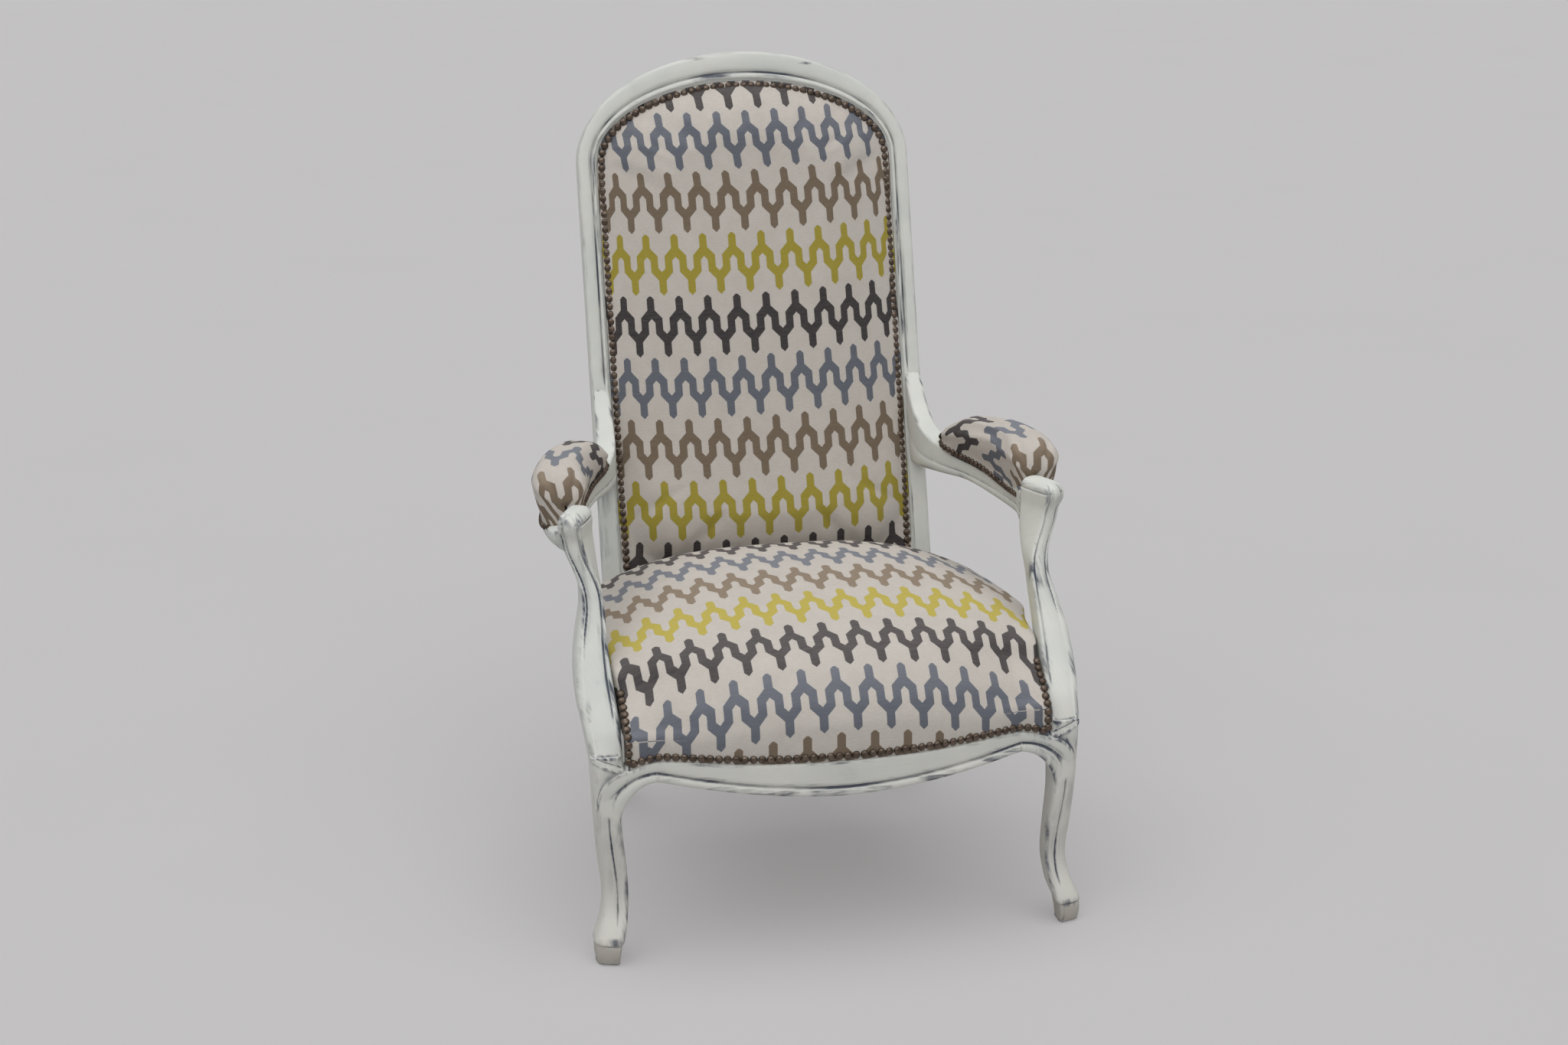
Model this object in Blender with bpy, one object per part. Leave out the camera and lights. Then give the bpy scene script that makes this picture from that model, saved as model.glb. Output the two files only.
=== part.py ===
"""Voltaire armchair: painted beech frame, stuffed seat, back and arm pads.

Metres, +Z up, the front faces -Y. The origin ends up under the middle of the chair.
"""
import math

import bmesh
import bpy
from mathutils import Vector

# Fit
GAP = 0.0003
COVER_T = 0.0022
WEB_T = 0.002
LINING_T = 0.0015

# Back frame, measured along the raked plane of its front face
RAKE = math.radians(15.0)
BACK_Y = 0.0418
BACK_HALF = 0.242
SPRING_S = 0.98
ARCH_RISE = 0.154
FRAME_W = 0.047
CREST_W = 0.056
FRAME_D = 0.034
LOWER_RAIL_H = 0.037
BACK_CROWN = 0.036

# Rear legs
REAR_LEG_W = 0.036
SABRE_Z = 0.24
SABRE_KICK = 0.213
SABRE_POWER = 1.7

# Front legs and seat frame
LEG_X = 0.304
LEG_Y = -0.305
SEAT_Z = 0.300
RAIL_H = 0.065
RAIL_T = 0.028
FRONT_BOW = 0.037
APRON_DROP = 0.077
APRON_RISE = 0.025
APRON_POWER = 1.7
EAR_DROP = 0.0575
EAR_RUN = 0.0497

# Arms
ARM_Z = 0.545
ARM_REACH = 0.175
PAD_RISE = 0.068

# Sizes that follow from those above
PANEL_S = SEAT_Z + 0.105
LEG_TOP = SEAT_Z - 0.015
NAIL_Z = SEAT_Z - 0.021
APRON_Z = SEAT_Z - APRON_DROP
RAIL_HALF = LEG_X - 0.064
FRONT_Y = LEG_Y - 0.067
EAR_BACK = LEG_Y + 0.030
ARM_JOINT_Y = LEG_Y + ARM_REACH
ARM_S0 = (ARM_Z - 0.038) / math.cos(RAKE)
ARM_S1 = (ARM_Z + 0.0925) / math.cos(RAKE)
SUPPORT_TOP = ARM_Z + 0.025
LEG_INNER = LEG_X - 0.0255
SIDE_RAIL_FRONT = RAIL_HALF + 0.022
SIDE_RAIL_REAR = BACK_HALF - 0.018
SEAT_REAR = BACK_Y + SEAT_Z * math.tan(RAKE)

# Across the frame: distance in from the outer edge, moulded depth, plain depth
MOULDING = (
    (0.0, -0.010, -0.010), (0.0, -0.006, -0.004), (0.0015, -0.0025, -0.001),
    (0.005, -0.0006, 0.0), (0.0085, 0.0, 0.0), (0.012, -0.0006, 0.0),
    (0.0155, -0.0025, 0.0), (0.017, -0.0045, 0.0), (0.0195, -0.0045, 0.0),
    (0.0205, -0.0018, 0.0), (0.0225, -0.0008, 0.0), (0.0245, -0.0018, 0.0),
)
LEDGE_W = 0.0257
LEDGE_D = 0.006


def clear_scene():
    for obj in list(bpy.data.objects):
        bpy.data.objects.remove(obj, do_unlink=True)


def paint(name, color, roughness, metallic=0.0):
    mat = bpy.data.materials.new(name)
    mat.use_nodes = True
    bsdf = mat.node_tree.nodes["Principled BSDF"]
    bsdf.inputs["Base Color"].default_value = (*color, 1.0)
    bsdf.inputs["Roughness"].default_value = roughness
    bsdf.inputs["Metallic"].default_value = metallic
    return mat


def solid(name, verts, faces, look, sharp=35.0):
    """One closed body from points and faces, facing outward, shaded smooth."""
    mesh = bpy.data.meshes.new(name)
    mesh.from_pydata([tuple(v) for v in verts], [], faces)
    bm = bmesh.new()
    bm.from_mesh(mesh)
    bmesh.ops.recalc_face_normals(bm, faces=bm.faces)
    bm.to_mesh(mesh)
    bm.free()
    mesh.shade_smooth()
    mesh.set_sharp_from_angle(angle=math.radians(sharp))
    obj = bpy.data.objects.new(name, mesh)
    bpy.context.scene.collection.objects.link(obj)
    obj.data.materials.append(paint(name, *look))
    return obj


def loft(name, sections, look, sharp=35.0):
    """Skin a run of sections with the same number of points and cap both ends."""
    count = len(sections[0])
    verts = [p for section in sections for p in section]
    faces = []
    for i in range(len(sections) - 1):
        for j in range(count):
            k = (j + 1) % count
            faces.append((i * count + j, i * count + k, (i + 1) * count + k, (i + 1) * count + j))
    last = (len(sections) - 1) * count
    faces.append(tuple(range(count)))
    faces.append(tuple(range(last, last + count)))
    return solid(name, verts, faces, look, sharp)


def shell(name, grid, quads, thickness, look):
    """A thin cover: a surface, the same surface set in along its normals, and a rim."""
    bm = bmesh.new()
    outer = [bm.verts.new(p) for p in grid]
    for quad in quads:
        bm.faces.new([outer[i] for i in quad])
    bm.normal_update()
    inner = [bm.verts.new(v.co - v.normal * thickness) for v in outer]
    rims = [e for e in bm.edges if e.is_boundary]
    index = {v: i for i, v in enumerate(outer)}
    for quad in quads:
        bm.faces.new([inner[i] for i in reversed(quad)])
    for edge in rims:
        a, b = edge.verts
        bm.faces.new((a, b, inner[index[b]], inner[index[a]]))
    bmesh.ops.delete(bm, geom=[v for v in bm.verts if not v.link_faces], context="VERTS")
    bm.verts.index_update()
    verts = [v.co.copy() for v in bm.verts]
    faces = [tuple(v.index for v in f.verts) for f in bm.faces]
    bm.free()
    return solid(name, verts, faces, look, sharp=50.0)


def spline(keys, t):
    """Smooth curve through keys (t, values...) at t; flat-ended cubic between keys."""
    i = 0
    while i < len(keys) - 2 and t > keys[i + 1][0]:
        i += 1
    a, b = keys[i], keys[i + 1]
    before, after = keys[max(i - 1, 0)], keys[min(i + 2, len(keys) - 1)]
    span = b[0] - a[0]
    f = min(max((t - a[0]) / span, 0.0), 1.0)
    out = []
    for j in range(1, len(a)):
        m0 = (b[j] - before[j]) / (b[0] - before[0]) * span
        m1 = (after[j] - a[j]) / (after[0] - a[0]) * span
        h = (2 * f ** 3 - 3 * f ** 2 + 1) * a[j] + (f ** 3 - 2 * f ** 2 + f) * m0
        out.append(h + (3 * f ** 2 - 2 * f ** 3) * b[j] + (f ** 3 - f ** 2) * m1)
    return out


def spread(start, stop, steps):
    return [start + (stop - start) * i / steps for i in range(steps + 1)]


def on_back(x, s, t):
    """Point on the raked back: across, up the slope, forward of the front face."""
    y = BACK_Y + s * math.sin(RAKE) - t * math.cos(RAKE)
    return Vector((x, y, s * math.cos(RAKE) + t * math.sin(RAKE)))


def in_world(x, y, z):
    return Vector((x, y, z))


def block(name, low, high, frame, look):
    """Straight-sided block between two corners of a frame of axes."""
    ends = []
    for c in (low[2], high[2]):
        ends.append([frame(a, b, c) for a, b in (
            (low[0], low[1]), (high[0], low[1]), (high[0], high[1]), (low[0], high[1]))])
    return loft(name, ends, look)


def combine(target, tool, operation):
    tool.hide_render = True
    tool.display_type = "WIRE"
    mod = target.modifiers.new(operation.title(), "BOOLEAN")
    mod.operation = operation
    mod.solver = "EXACT"
    mod.object = tool


def tenon(rail, host, low, high, frame=in_world):
    """Grow a tenon on the rail and cut its mortise in the host."""
    tongue = block(rail.name + "_tongue_" + host.name, low, high, frame, WOOD)
    combine(rail, tongue, "UNION")
    roomy_low = [v - GAP for v in low]
    roomy_high = [v + GAP for v in high]
    slot = block(rail.name + "_slot_" + host.name, roomy_low, roomy_high, frame, WOOD)
    combine(host, slot, "DIFFERENCE")


def rod(name, start, end, radius, look, sides=12):
    axis = (end - start).normalized()
    u = axis.orthogonal().normalized()
    w = axis.cross(u)
    rings = []
    for p in (start, end):
        turns = [2 * math.pi * i / sides for i in range(sides)]
        rings.append([p + (u * math.cos(a) + w * math.sin(a)) * radius for a in turns])
    return loft(name, rings, look)


def dowel(name, first, second, centre, axis, radius=0.005, reach=0.022):
    """Peg two pieces together with a loose dowel in a pair of bored holes."""
    step = axis.normalized()
    peg = rod(name, centre - step * reach, centre + step * reach, radius, PEG)
    depth = reach + GAP
    bore = rod(name + "_bore", centre - step * depth, centre + step * depth, radius + GAP, PEG)
    combine(first, bore, "DIFFERENCE")
    combine(second, bore, "DIFFERENCE")
    return peg


def frame_section(mould, ledge, width):
    """Section of the back frame as (in from the outer edge, forward of the face)."""
    k = width / FRAME_W
    points = [(w * k, plain + (cut - plain) * mould) for w, cut, plain in MOULDING]
    points += [(LEDGE_W * k, -LEDGE_D * ledge), (width, -LEDGE_D * ledge)]
    return points + [(width, -FRAME_D), (0.0, -FRAME_D)]


def rear_front(z):
    """Front edge of a rear leg: the raked plane, kicked back near the floor."""
    kick = max(SABRE_Z - z, 0.0) / SABRE_Z
    return BACK_Y + z * math.tan(RAKE) + SABRE_KICK * kick ** SABRE_POWER


def rear_depth(z):
    step = 0.002
    slope = (rear_front(z + step) - rear_front(z)) / step
    taper = 0.88 + 0.12 * min(z / SABRE_Z, 1.0)
    return FRAME_D * taper * math.hypot(1.0, slope)


def back_post(side, name):
    sections = []
    for z in spread(0.0, SABRE_Z, 9):
        depth = rear_depth(z) / FRAME_D
        sections.append([Vector((side * (BACK_HALF - w), rear_front(z) - t * depth, z))
                         for w, t in frame_section(0.0, 0.0, REAR_LEG_W)])
    run_out = ARM_S1 + 0.018
    stops = ((PANEL_S - 0.055, 0.0, 0.0, REAR_LEG_W), (PANEL_S - 0.030, 0.0, 0.0, FRAME_W),
             (PANEL_S - 0.006, 0.0, 0.0, FRAME_W), (PANEL_S - 0.004, 0.0, 1.0, FRAME_W),
             (ARM_S1 + 0.004, 0.0, 1.0, FRAME_W), (run_out, 1.0, 1.0, FRAME_W),
             (SPRING_S, 1.0, 1.0, FRAME_W))
    for s, mould, ledge, width in stops:
        sections.append([on_back(side * (BACK_HALF - w), s, t)
                         for w, t in frame_section(mould, ledge, width)])
    return loft(name, sections, WOOD)


def crest_rail():
    sections = []
    for a in spread(0.0, math.pi, 36):
        ring = []
        for w, t in frame_section(1.0, 1.0, FRAME_W):
            rise = ARCH_RISE - CREST_W * w / FRAME_W
            ring.append(on_back((BACK_HALF - w) * math.cos(a), SPRING_S + GAP + rise * math.sin(a), t))
        sections.append(ring)
    return loft("crest_rail", sections, WOOD)


def cross_rail(name, half, low_s, high_s, front_t, posts, reach):
    """A straight rail lying in the raked back, tenoned into both posts."""
    back_t = -FRAME_D + 0.004
    rail = block(name, (-half + GAP, low_s, back_t), (half - GAP, high_s, front_t), on_back, WOOD)
    shoulder = 0.005
    for side, post in posts:
        xs = sorted((side * (half - shoulder), side * (half + reach)))
        tenon(rail, post, (xs[0], low_s + 2 * shoulder, back_t + shoulder),
              (xs[1], high_s - 2 * shoulder, front_t - shoulder), on_back)
    return rail


def front_y(x):
    run = min(abs(x) / RAIL_HALF, 1.0)
    return FRONT_Y + FRONT_BOW * run ** 2


def apron_z(x):
    run = min(abs(x) / RAIL_HALF, 1.0)
    return APRON_Z + APRON_RISE * run ** APRON_POWER


# Bead and groove along the lower edge: height above the edge, depth behind the face
APRON_EDGE = ((0.0, 0.003), (0.002, 0.0005), (0.005, 0.0), (0.0085, 0.0008),
              (0.0105, 0.0035), (0.0130, 0.0035), (0.0150, 0.0012))
REBATE_D = 0.0055
REBATE_Z = NAIL_Z - 0.0085


def front_rail():
    sections = []
    for x in spread(-RAIL_HALF, RAIL_HALF, 24):
        y, z = front_y(x), apron_z(x)
        ring = [Vector((x, y + RAIL_T, z))]
        ring += [Vector((x, y + d, z + h)) for h, d in APRON_EDGE]
        ring += [Vector((x, y + 0.0005, REBATE_Z)), Vector((x, y + REBATE_D, REBATE_Z)),
                 Vector((x, y + REBATE_D, SEAT_Z)), Vector((x, y + RAIL_T, SEAT_Z))]
        sections.append(ring)
    return loft("seat_front_rail", sections, WOOD)


def leg_ear(side, name):
    """The bracket that carries the apron's bead round into the leg."""
    y = FRONT_Y + FRONT_BOW
    start = RAIL_HALF + GAP
    step = math.asin((LEG_INNER - start) / EAR_RUN)
    tall, short = SEAT_Z, LEG_TOP - 0.002
    sections = []
    for a, top in ((0.0, tall), (0.3, tall), (0.6, tall), (step, tall),
                   (step + 0.02, short), (1.1, short), (1.35, short)):
        x = start + EAR_RUN * math.sin(a)
        z = APRON_Z + APRON_RISE - EAR_DROP * (1.0 - math.cos(a))
        ring = [Vector((side * x, EAR_BACK, z))]
        ring += [Vector((side * (x + h * math.sin(a)), y + d, z + h * math.cos(a)))
                 for h, d in APRON_EDGE]
        ring += [Vector((side * x, y + 0.0005, REBATE_Z)), Vector((side * x, y + REBATE_D, REBATE_Z)),
                 Vector((side * x, y + REBATE_D, top)), Vector((side * x, EAR_BACK, top))]
        sections.append(ring)
    return loft(name, sections, WOOD)


# Leg stations: share of the leg's height, then inner, outer, front and back faces
LEG_STATIONS = (
    (0.0, -0.0085, 0.0260, -0.0350, 0.0020), (0.045, -0.0095, 0.0290, -0.0400, 0.0060),
    (0.109, -0.0135, 0.0260, -0.0400, 0.0080), (0.158, -0.0175, 0.0190, -0.0320, 0.0120),
    (0.228, -0.0210, 0.0130, -0.0200, 0.0170), (0.323, -0.0235, 0.0100, -0.0130, 0.0230),
    (0.491, -0.0210, 0.0150, -0.0170, 0.0250), (0.649, -0.0185, 0.0180, -0.0240, 0.0270),
    (0.825, -0.0205, 0.0205, -0.0290, 0.0290), (1.0, -0.0230, 0.0230, -0.0280, 0.0310),
)
LEG_OUTLINE = (
    (-1.0, 0.55), (-1.0, -0.55), (-0.93, -0.85), (-0.78, -0.97), (-0.62, -0.93), (-0.56, -0.80),
    (-0.46, -0.80), (-0.40, -0.95), (0.0, -1.0), (0.55, -0.95), (0.85, -0.78), (1.0, -0.40),
    (1.0, 0.45), (0.75, 0.90), (-0.75, 0.90),
)
# Support stations: share of the support's height, inner, outer, share of the lean and depth
SUPPORT_STATIONS = (
    (0.0, -0.0230, 0.0225, 0.0, 0.059), (0.088, -0.0225, 0.0255, 0.120, 0.058),
    (0.193, -0.0205, 0.0300, 0.263, 0.056), (0.277, -0.0180, 0.0305, 0.371, 0.054),
    (0.372, -0.0160, 0.0280, 0.480, 0.052), (0.474, -0.0160, 0.0215, 0.589, 0.050),
    (0.579, -0.0160, 0.0140, 0.686, 0.048), (0.667, -0.0160, 0.0140, 0.760, 0.050),
    (0.740, -0.0130, 0.0195, 0.829, 0.060), (0.824, -0.0125, 0.0320, 0.869, 0.060),
    (0.895, -0.0135, 0.0380, 0.897, 0.055), (0.951, -0.0115, 0.0365, 0.931, 0.045),
    (0.986, -0.0050, 0.0290, 0.989, 0.030), (1.0, 0.0040, 0.0200, 1.046, 0.018),
)
SUPPORT_OUTLINE = (
    (-1.0, 0.50), (-1.0, -0.40), (-0.93, -0.75), (-0.75, -0.93), (-0.56, -0.95), (-0.50, -0.84),
    (-0.40, -0.84), (-0.34, -0.96), (0.0, -1.0), (0.34, -0.96), (0.40, -0.84), (0.50, -0.84),
    (0.56, -0.95), (0.75, -0.93), (0.93, -0.75), (1.0, -0.40), (1.0, 0.50), (0.80, 0.95),
    (-0.80, 0.95),
)
SUPPORT_FOOT = -0.028
TURN_OUT = 0.27


def station_ring(side, outline, inner, outer, front, back, z, limit):
    """One level of a leg or support: its outline turned outward between four faces."""
    half = (outer - inner) / 2
    mid_y = (front + back) / 2
    ring = []
    for p, q in outline:
        y = mid_y + q * (back - front) / 2 + TURN_OUT * p * half
        ring.append(Vector((side * (inner + half * (1 + p)), min(y, limit), z)))
    return ring


def front_leg(side, name):
    sections = []
    for f in spread(0.0, 1.0, 20):
        inner, outer, front, back = spline(LEG_STATIONS, f)
        sections.append(station_ring(side, LEG_OUTLINE, LEG_X + inner, LEG_X + outer,
                                     LEG_Y + front, LEG_Y + back, f * LEG_TOP, 0.0))
    leg = loft(name, sections, WOOD)
    combine(leg, leg_ear(side, name + "_ear"), "UNION")
    return leg


def arm_support(side, name):
    sections = []
    base = LEG_TOP + GAP
    for f in spread(0.0, 1.0, 22):
        inner, outer, lean, depth = spline(SUPPORT_STATIONS, f)
        front = LEG_Y + SUPPORT_FOOT + lean * ARM_REACH
        sections.append(station_ring(side, SUPPORT_OUTLINE, LEG_X + inner, LEG_X + outer,
                                     front, front + depth, base + f * (SUPPORT_TOP - base),
                                     ARM_JOINT_Y - GAP))
    return loft(name, sections, WOOD)


def side_rail(side, name, post, leg):
    xa, xb = SIDE_RAIL_REAR, SIDE_RAIL_FRONT
    low, high = SEAT_Z - RAIL_H, SEAT_Z
    corners = ((-0.5, low), (0.5, low), (0.5, high), (-0.5, high))
    start = BACK_Y - GAP / math.cos(RAKE)
    rear = [Vector((side * (xa + k * RAIL_T), start + z * math.tan(RAKE), z)) for k, z in corners]
    fore = [Vector((side * (xb + k * RAIL_T), EAR_BACK + GAP, z)) for k, z in corners]
    rail = loft(name, [rear, fore], WOOD)
    half_tongue, inset = 0.0055, 0.012
    xs = sorted((side * (xa - half_tongue), side * (xa + half_tongue)))
    tenon(rail, post, (xs[0], low / math.cos(RAKE) + inset, -0.016),
          (xs[1], high / math.cos(RAKE) - inset, 0.006), on_back)
    xs = sorted((side * (xb - half_tongue), side * (xb + half_tongue)))
    tenon(rail, leg, (xs[0], EAR_BACK - 0.017, low + inset + 0.006),
          (xs[1], EAR_BACK + 0.006, high - inset))
    return rail


# Arm stations: share along, share across and forward to the support, width, underside, top
ARM_STATIONS = (
    (0.06, 0.011, 0.089, 0.0255, -0.036, 0.055), (0.16, 0.068, 0.185, 0.0290, -0.033, 0.027),
    (0.32, 0.288, 0.308, 0.0360, -0.031, 0.011), (0.52, 0.627, 0.453, 0.0450, -0.031, 0.002),
    (0.75, 0.977, 0.678, 0.0500, -0.043, 0.000), (0.90, 1.096, 0.862, 0.0500, -0.048, 0.000),
    (1.0, 1.0, 1.0, 0.0490, -0.049, 0.002),
)
ARM_OUTLINE = (
    (-0.55, 0.0), (0.55, 0.0), (0.85, 0.05), (1.0, 0.18), (0.97, 0.30), (0.90, 0.34),
    (0.90, 0.40), (0.98, 0.44), (1.0, 0.80), (0.88, 1.0), (-0.88, 1.0), (-1.0, 0.80),
    (-0.98, 0.44), (-0.90, 0.40), (-0.90, 0.34), (-0.97, 0.30), (-1.0, 0.18), (-0.85, 0.05),
)
ARM_ROOT_W = 0.0245
ARM_ROOT_X = BACK_HALF - 0.0125
ARM_HEAD_X = LEG_X + 0.014


def arm_place(t):
    """Middle line of the arm at a share of its run: x, y, width, underside and top."""
    root_low = ARM_S0 * math.cos(RAKE) - ARM_Z
    root_high = ARM_S1 * math.cos(RAKE) - ARM_Z
    keys = ((0.0, 0.0, 0.0, ARM_ROOT_W, root_low, root_high),) + ARM_STATIONS
    across, forward, width, low, high = spline(keys, t)
    root_mid = ARM_Z + (root_low + root_high) / 2
    root_y = BACK_Y + root_mid * math.tan(RAKE)
    x = ARM_ROOT_X + across * (ARM_HEAD_X - ARM_ROOT_X)
    y = root_y + forward * (ARM_JOINT_Y - root_y)
    return x, y, width, ARM_Z + low, ARM_Z + high


def arm_across(t):
    """Plan direction across the arm, square to the post and to the support at its ends."""
    a, b = arm_place(max(t - 0.02, 0.0)), arm_place(min(t + 0.02, 1.0))
    run = Vector((b[0] - a[0], b[1] - a[1]))
    swing = min(t / 0.12, (1.0 - t) / 0.12, 1.0)
    square = Vector((1.0, 0.0))
    return square.lerp(Vector((-run.y, run.x)).normalized(), swing).normalized()


def arm(side, name):
    sections = []
    for t in [0.0, 0.03, 0.06, 0.11] + spread(0.16, 1.0, 14):
        x, y, width, low, high = arm_place(t)
        across = arm_across(t)
        lean = math.tan(RAKE) * max(1.0 - t / 0.15, 0.0)
        ring = []
        for p, h in ARM_OUTLINE:
            z = low + (high - low) * h
            shift = lean * (z - (low + high) / 2) - (GAP / math.cos(RAKE) if t == 0.0 else 0.0)
            ring.append(Vector((side * (x + p * width / 2 * across.x),
                                y + p * width / 2 * across.y + shift, z)))
        sections.append(ring)
    return loft(name, sections, WOOD)


# Pad stations: share along, half base, half belly and rise as a share of the full rise
PAD_STATIONS = (
    (0.0, 0.010, 0.011, 0.20), (0.06, 0.019, 0.022, 0.45), (0.25, 0.0235, 0.029, 0.82),
    (0.55, 0.026, 0.032, 1.0), (0.80, 0.025, 0.0315, 0.92), (0.94, 0.016, 0.019, 0.60),
    (1.0, 0.006, 0.007, 0.25),
)
PAD_START = 0.30
PAD_STOP = 0.955


def arm_pad(side, name):
    sections = []
    for f in [0.0, 0.03] + spread(0.06, 0.94, 12) + [0.975, 1.0]:
        t = PAD_START + (PAD_STOP - PAD_START) * f
        x, y, _, _, top = arm_place(t)
        across = arm_across(t)
        base, belly, rise = spline(PAD_STATIONS, f)
        rise *= PAD_RISE
        ring = []
        for p, h in ((-base, 0.0), (base, 0.0), (base, 0.012), (belly, 0.35 * rise + 0.008),
                     (0.86 * belly, 0.76 * rise), (0.45 * belly, 0.97 * rise), (0.0, rise),
                     (-0.45 * belly, 0.97 * rise), (-0.86 * belly, 0.76 * rise),
                     (-belly, 0.35 * rise + 0.008), (-base, 0.012)):
            z = top + 0.0006 + min(h, rise)
            ring.append(Vector((side * (x + p * across.x), y + p * across.y, z)))
        sections.append(ring)
    return loft(name, sections, FABRIC, sharp=60.0)


def rail_outer(y):
    """Outer face of a side rail at a distance back."""
    f = (y - EAR_BACK) / (SEAT_REAR - EAR_BACK)
    return SIDE_RAIL_FRONT + (SIDE_RAIL_REAR - SIDE_RAIL_FRONT) * f + RAIL_T / 2


SKIRT_D = REBATE_D - 2.5 * GAP - COVER_T
# Seat profile from the front nails to the back: share, depth behind the front, height over the rails
SEAT_MIDDLE = (
    (0.0, SKIRT_D, -0.0285), (0.06, SKIRT_D, 0.004), (0.12, 0.0045, 0.025), (0.18, 0.016, 0.050),
    (0.30, 0.047, 0.085), (0.42, 0.087, 0.105), (0.56, 0.172, 0.127), (0.72, 0.282, 0.138),
    (0.84, 0.372, 0.1375), (0.95, 0.474, 0.123), (0.98, 0.490, 0.100), (1.0, 0.493, 0.060),
)
SEAT_EDGE = (
    (0.0, SKIRT_D, -0.0285), (0.06, SKIRT_D, 0.004), (0.12, 0.0130, 0.016), (0.18, 0.027, 0.030),
    (0.30, 0.059, 0.052), (0.42, 0.090, 0.064), (0.56, 0.145, 0.083), (0.72, 0.245, 0.088),
    (0.84, 0.335, 0.085), (0.95, 0.431, 0.075), (0.98, 0.447, 0.060), (1.0, 0.450, 0.045),
)
SEAT_ROWS = [0.0, 0.06, 0.09] + spread(0.12, 1.0, 18)
SEAT_COLUMNS = spread(-1.0, 1.0, 14)


def seat_half(y):
    """Half width of the seat's shoulder: held in by the arm supports, fuller behind them."""
    tight = LEG_INNER
    loose = min(rail_outer(y) + 0.019, tight + 0.008)
    f = min(max((y - LEG_Y - 0.105) / 0.05, 0.0), 1.0)
    return tight + (loose - tight) * f * f * (3 - 2 * f)


def seat_point(u, v):
    depth, rise = spline(SEAT_MIDDLE, v)
    side_depth, side_rise = spline(SEAT_EDGE, v)
    x = u * seat_half(FRONT_Y + FRONT_BOW + side_depth)
    bow = min(abs(x) / RAIL_HALF, 1.0) ** 2
    y = FRONT_Y + depth + (FRONT_BOW + side_depth - depth) * bow
    return Vector((x, y, SEAT_Z + rise + (side_rise - rise) * abs(u) ** 3))


def seat_cover():
    skirt = ((SEAT_Z - 0.016, 0.0005 + GAP + COVER_T), (SEAT_Z + 0.035, 0.0115))
    grid = []
    hangs = []
    for v in SEAT_ROWS:
        row = [seat_point(u, v) for u in SEAT_COLUMNS]
        edge = row[-1]
        hangs.append(edge.y > EAR_BACK + 0.014)
        left, right = [], []
        for z, out in skirt:
            y = min(edge.y, BACK_Y + z * math.tan(RAKE) - 0.004)
            x = min(rail_outer(y) + out, seat_half(y) + 0.001)
            left.append(Vector((-x, y, z)))
            right.insert(0, Vector((x, y, z)))
        grid += left + row + right
    wide = len(SEAT_COLUMNS) + 4
    quads = []
    for i in range(len(SEAT_ROWS) - 1):
        for j in range(wide - 1):
            if hangs[i] or 2 <= j < wide - 3:
                a = i * wide + j
                quads.append((a, a + 1, a + wide + 1, a + wide))
    return shell("seat_cover", grid, quads, COVER_T, FABRIC)


def seat_stuffing():
    """The stuffing under the cover, flat below where it lies on the webbing."""
    rows = [v for v in SEAT_ROWS if v > 0.1]
    wide = len(SEAT_COLUMNS)
    step = 0.004
    floor = SEAT_Z + WEB_T + 5 * GAP
    under = COVER_T + 0.0025
    pinch = 0.010
    verts = []
    for v in rows:
        for u in SEAT_COLUMNS:
            along = seat_point(u, min(v + step, 1.0)) - seat_point(u, v - step)
            over = seat_point(u + step, v) - seat_point(u - step, v)
            inset = Vector((math.copysign(pinch, u) if abs(u) == 1.0 else 0.0, 0.0, 0.0))
            verts.append(seat_point(u, v) - over.cross(along).normalized() * under - inset)
    faces = []
    for i in range(len(rows) - 1):
        for j in range(wide - 1):
            a = i * wide + j
            faces.append((a, a + 1, a + wide + 1, a + wide))
    last = (len(rows) - 1) * wide
    rim = list(range(wide)) + [i * wide + wide - 1 for i in range(1, len(rows))]
    rim += list(range(last + wide - 2, last - 1, -1)) + [i * wide for i in range(len(rows) - 2, 0, -1)]
    low = len(verts)
    for i in rim:
        p = verts[i]
        x = math.copysign(min(abs(p.x), rail_outer(p.y) - 0.002), p.x)
        verts.append(Vector((x, p.y + (0.002 if i < wide else -0.002), floor)))
    for i in range(len(rim)):
        k = (i + 1) % len(rim)
        faces.append((rim[i], rim[k], low + k, low + i))
    faces.append(tuple(range(low, low + len(rim))))
    return solid("seat_stuffing", verts, faces, STUFFING, sharp=60.0)


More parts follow.
